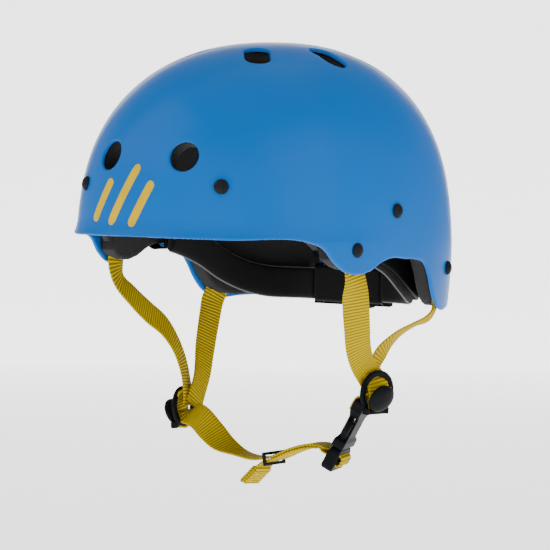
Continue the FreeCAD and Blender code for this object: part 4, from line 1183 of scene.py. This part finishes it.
area_light("key", (-1.5, -1.5, 1.9), (0, 0, 0.03), (2.2, 2.2), 26)
area_light("right", (2.0, 0.1, 1.0), (0, 0, 0.03), (1.6, 2.0), 13)
area_light("front", (0.9, -2.4, 0.2), (0, 0, -0.02), (2.4, 1.6), 8)
area_light("top", (0.1, 0.3, 2.3), (0, 0, 0), (2.2, 2.2), 13)

world = bpy.data.worlds.new("studio")
world.use_nodes = True
sky = world.node_tree.nodes["Background"].inputs
sky["Color"].default_value = (1, 1, 1, 1)
sky["Strength"].default_value = 0.55
bpy.context.scene.world = world

CAMERA_AZIMUTH, CAMERA_ELEVATION, CAMERA_ROLL = 37.558, 2.887, 0.685
CAMERA_DISTANCE, CAMERA_RIGHT, CAMERA_UP, CAMERA_LENS = 2.0067, -0.000513, -0.02684, 185.0
# The stage, in metres
FLOOR_LEVEL = CAD_BOX[0][2] - 0.25
FLOOR_HALF, CARD_DISTANCE, CARD_HALF, CARD_TOP = 9.0, 4.0, 1.6, 1.5
SQUARE = ((-1, -1), (1, -1), (1, 1), (-1, 1))


def pale_sheet(name, material_name, vertices, roughness, glow):
    """A sheet of the stage, which glows a little so that it stays near white."""
    m = Nodes(material_name)
    m.set(Base_Color=(0.93, 0.93, 0.93, 1), Roughness=roughness,
          Emission_Color=(1, 1, 1, 1), Emission_Strength=glow)
    finish_mesh(name, vertices, [(0, 1, 2, 3)], m.material)


def floor():
    vertices = [(a * FLOOR_HALF, b * FLOOR_HALF, FLOOR_LEVEL) for a, b in SQUARE]
    pale_sheet("floor", "pale_floor", vertices, 0.9, 1.5)


def backdrop():
    """A large pale card behind the helmet."""
    turn = math.radians(CAMERA_AZIMUTH)
    way = Vector((-math.sin(turn), math.cos(turn), 0))
    side_vector = Vector((way.y, -way.x, 0))
    vertices = [way * CARD_DISTANCE + side_vector * (CARD_HALF * a)
                + Vector((0, 0, FLOOR_LEVEL if b < 0 else CARD_TOP)) for a, b in SQUARE]
    pale_sheet("backdrop", "pale_card", vertices, 1.0, 1.75)


def camera():
    turn, rise, roll = (math.radians(a) for a in (CAMERA_AZIMUTH, CAMERA_ELEVATION, CAMERA_ROLL))
    back = Vector((math.sin(turn) * math.cos(rise), -math.cos(turn) * math.cos(rise),
                   math.sin(rise)))
    right = Vector((math.cos(turn), math.sin(turn), 0))
    up = back.cross(right)
    right, up = (right * math.cos(roll) + up * math.sin(roll),
                 up * math.cos(roll) - right * math.sin(roll))
    data = bpy.data.cameras.new("camera")
    data.lens = CAMERA_LENS
    data.sensor_width = 36
    data.clip_end = 50
    view = new_object("camera", data)
    rotation = Matrix((right, up, back)).transposed().to_4x4()
    place = back * CAMERA_DISTANCE + right * CAMERA_RIGHT + up * CAMERA_UP
    view.matrix_world = Matrix.Translation(place) @ rotation
    bpy.context.scene.camera = view


floor()
camera()
backdrop()
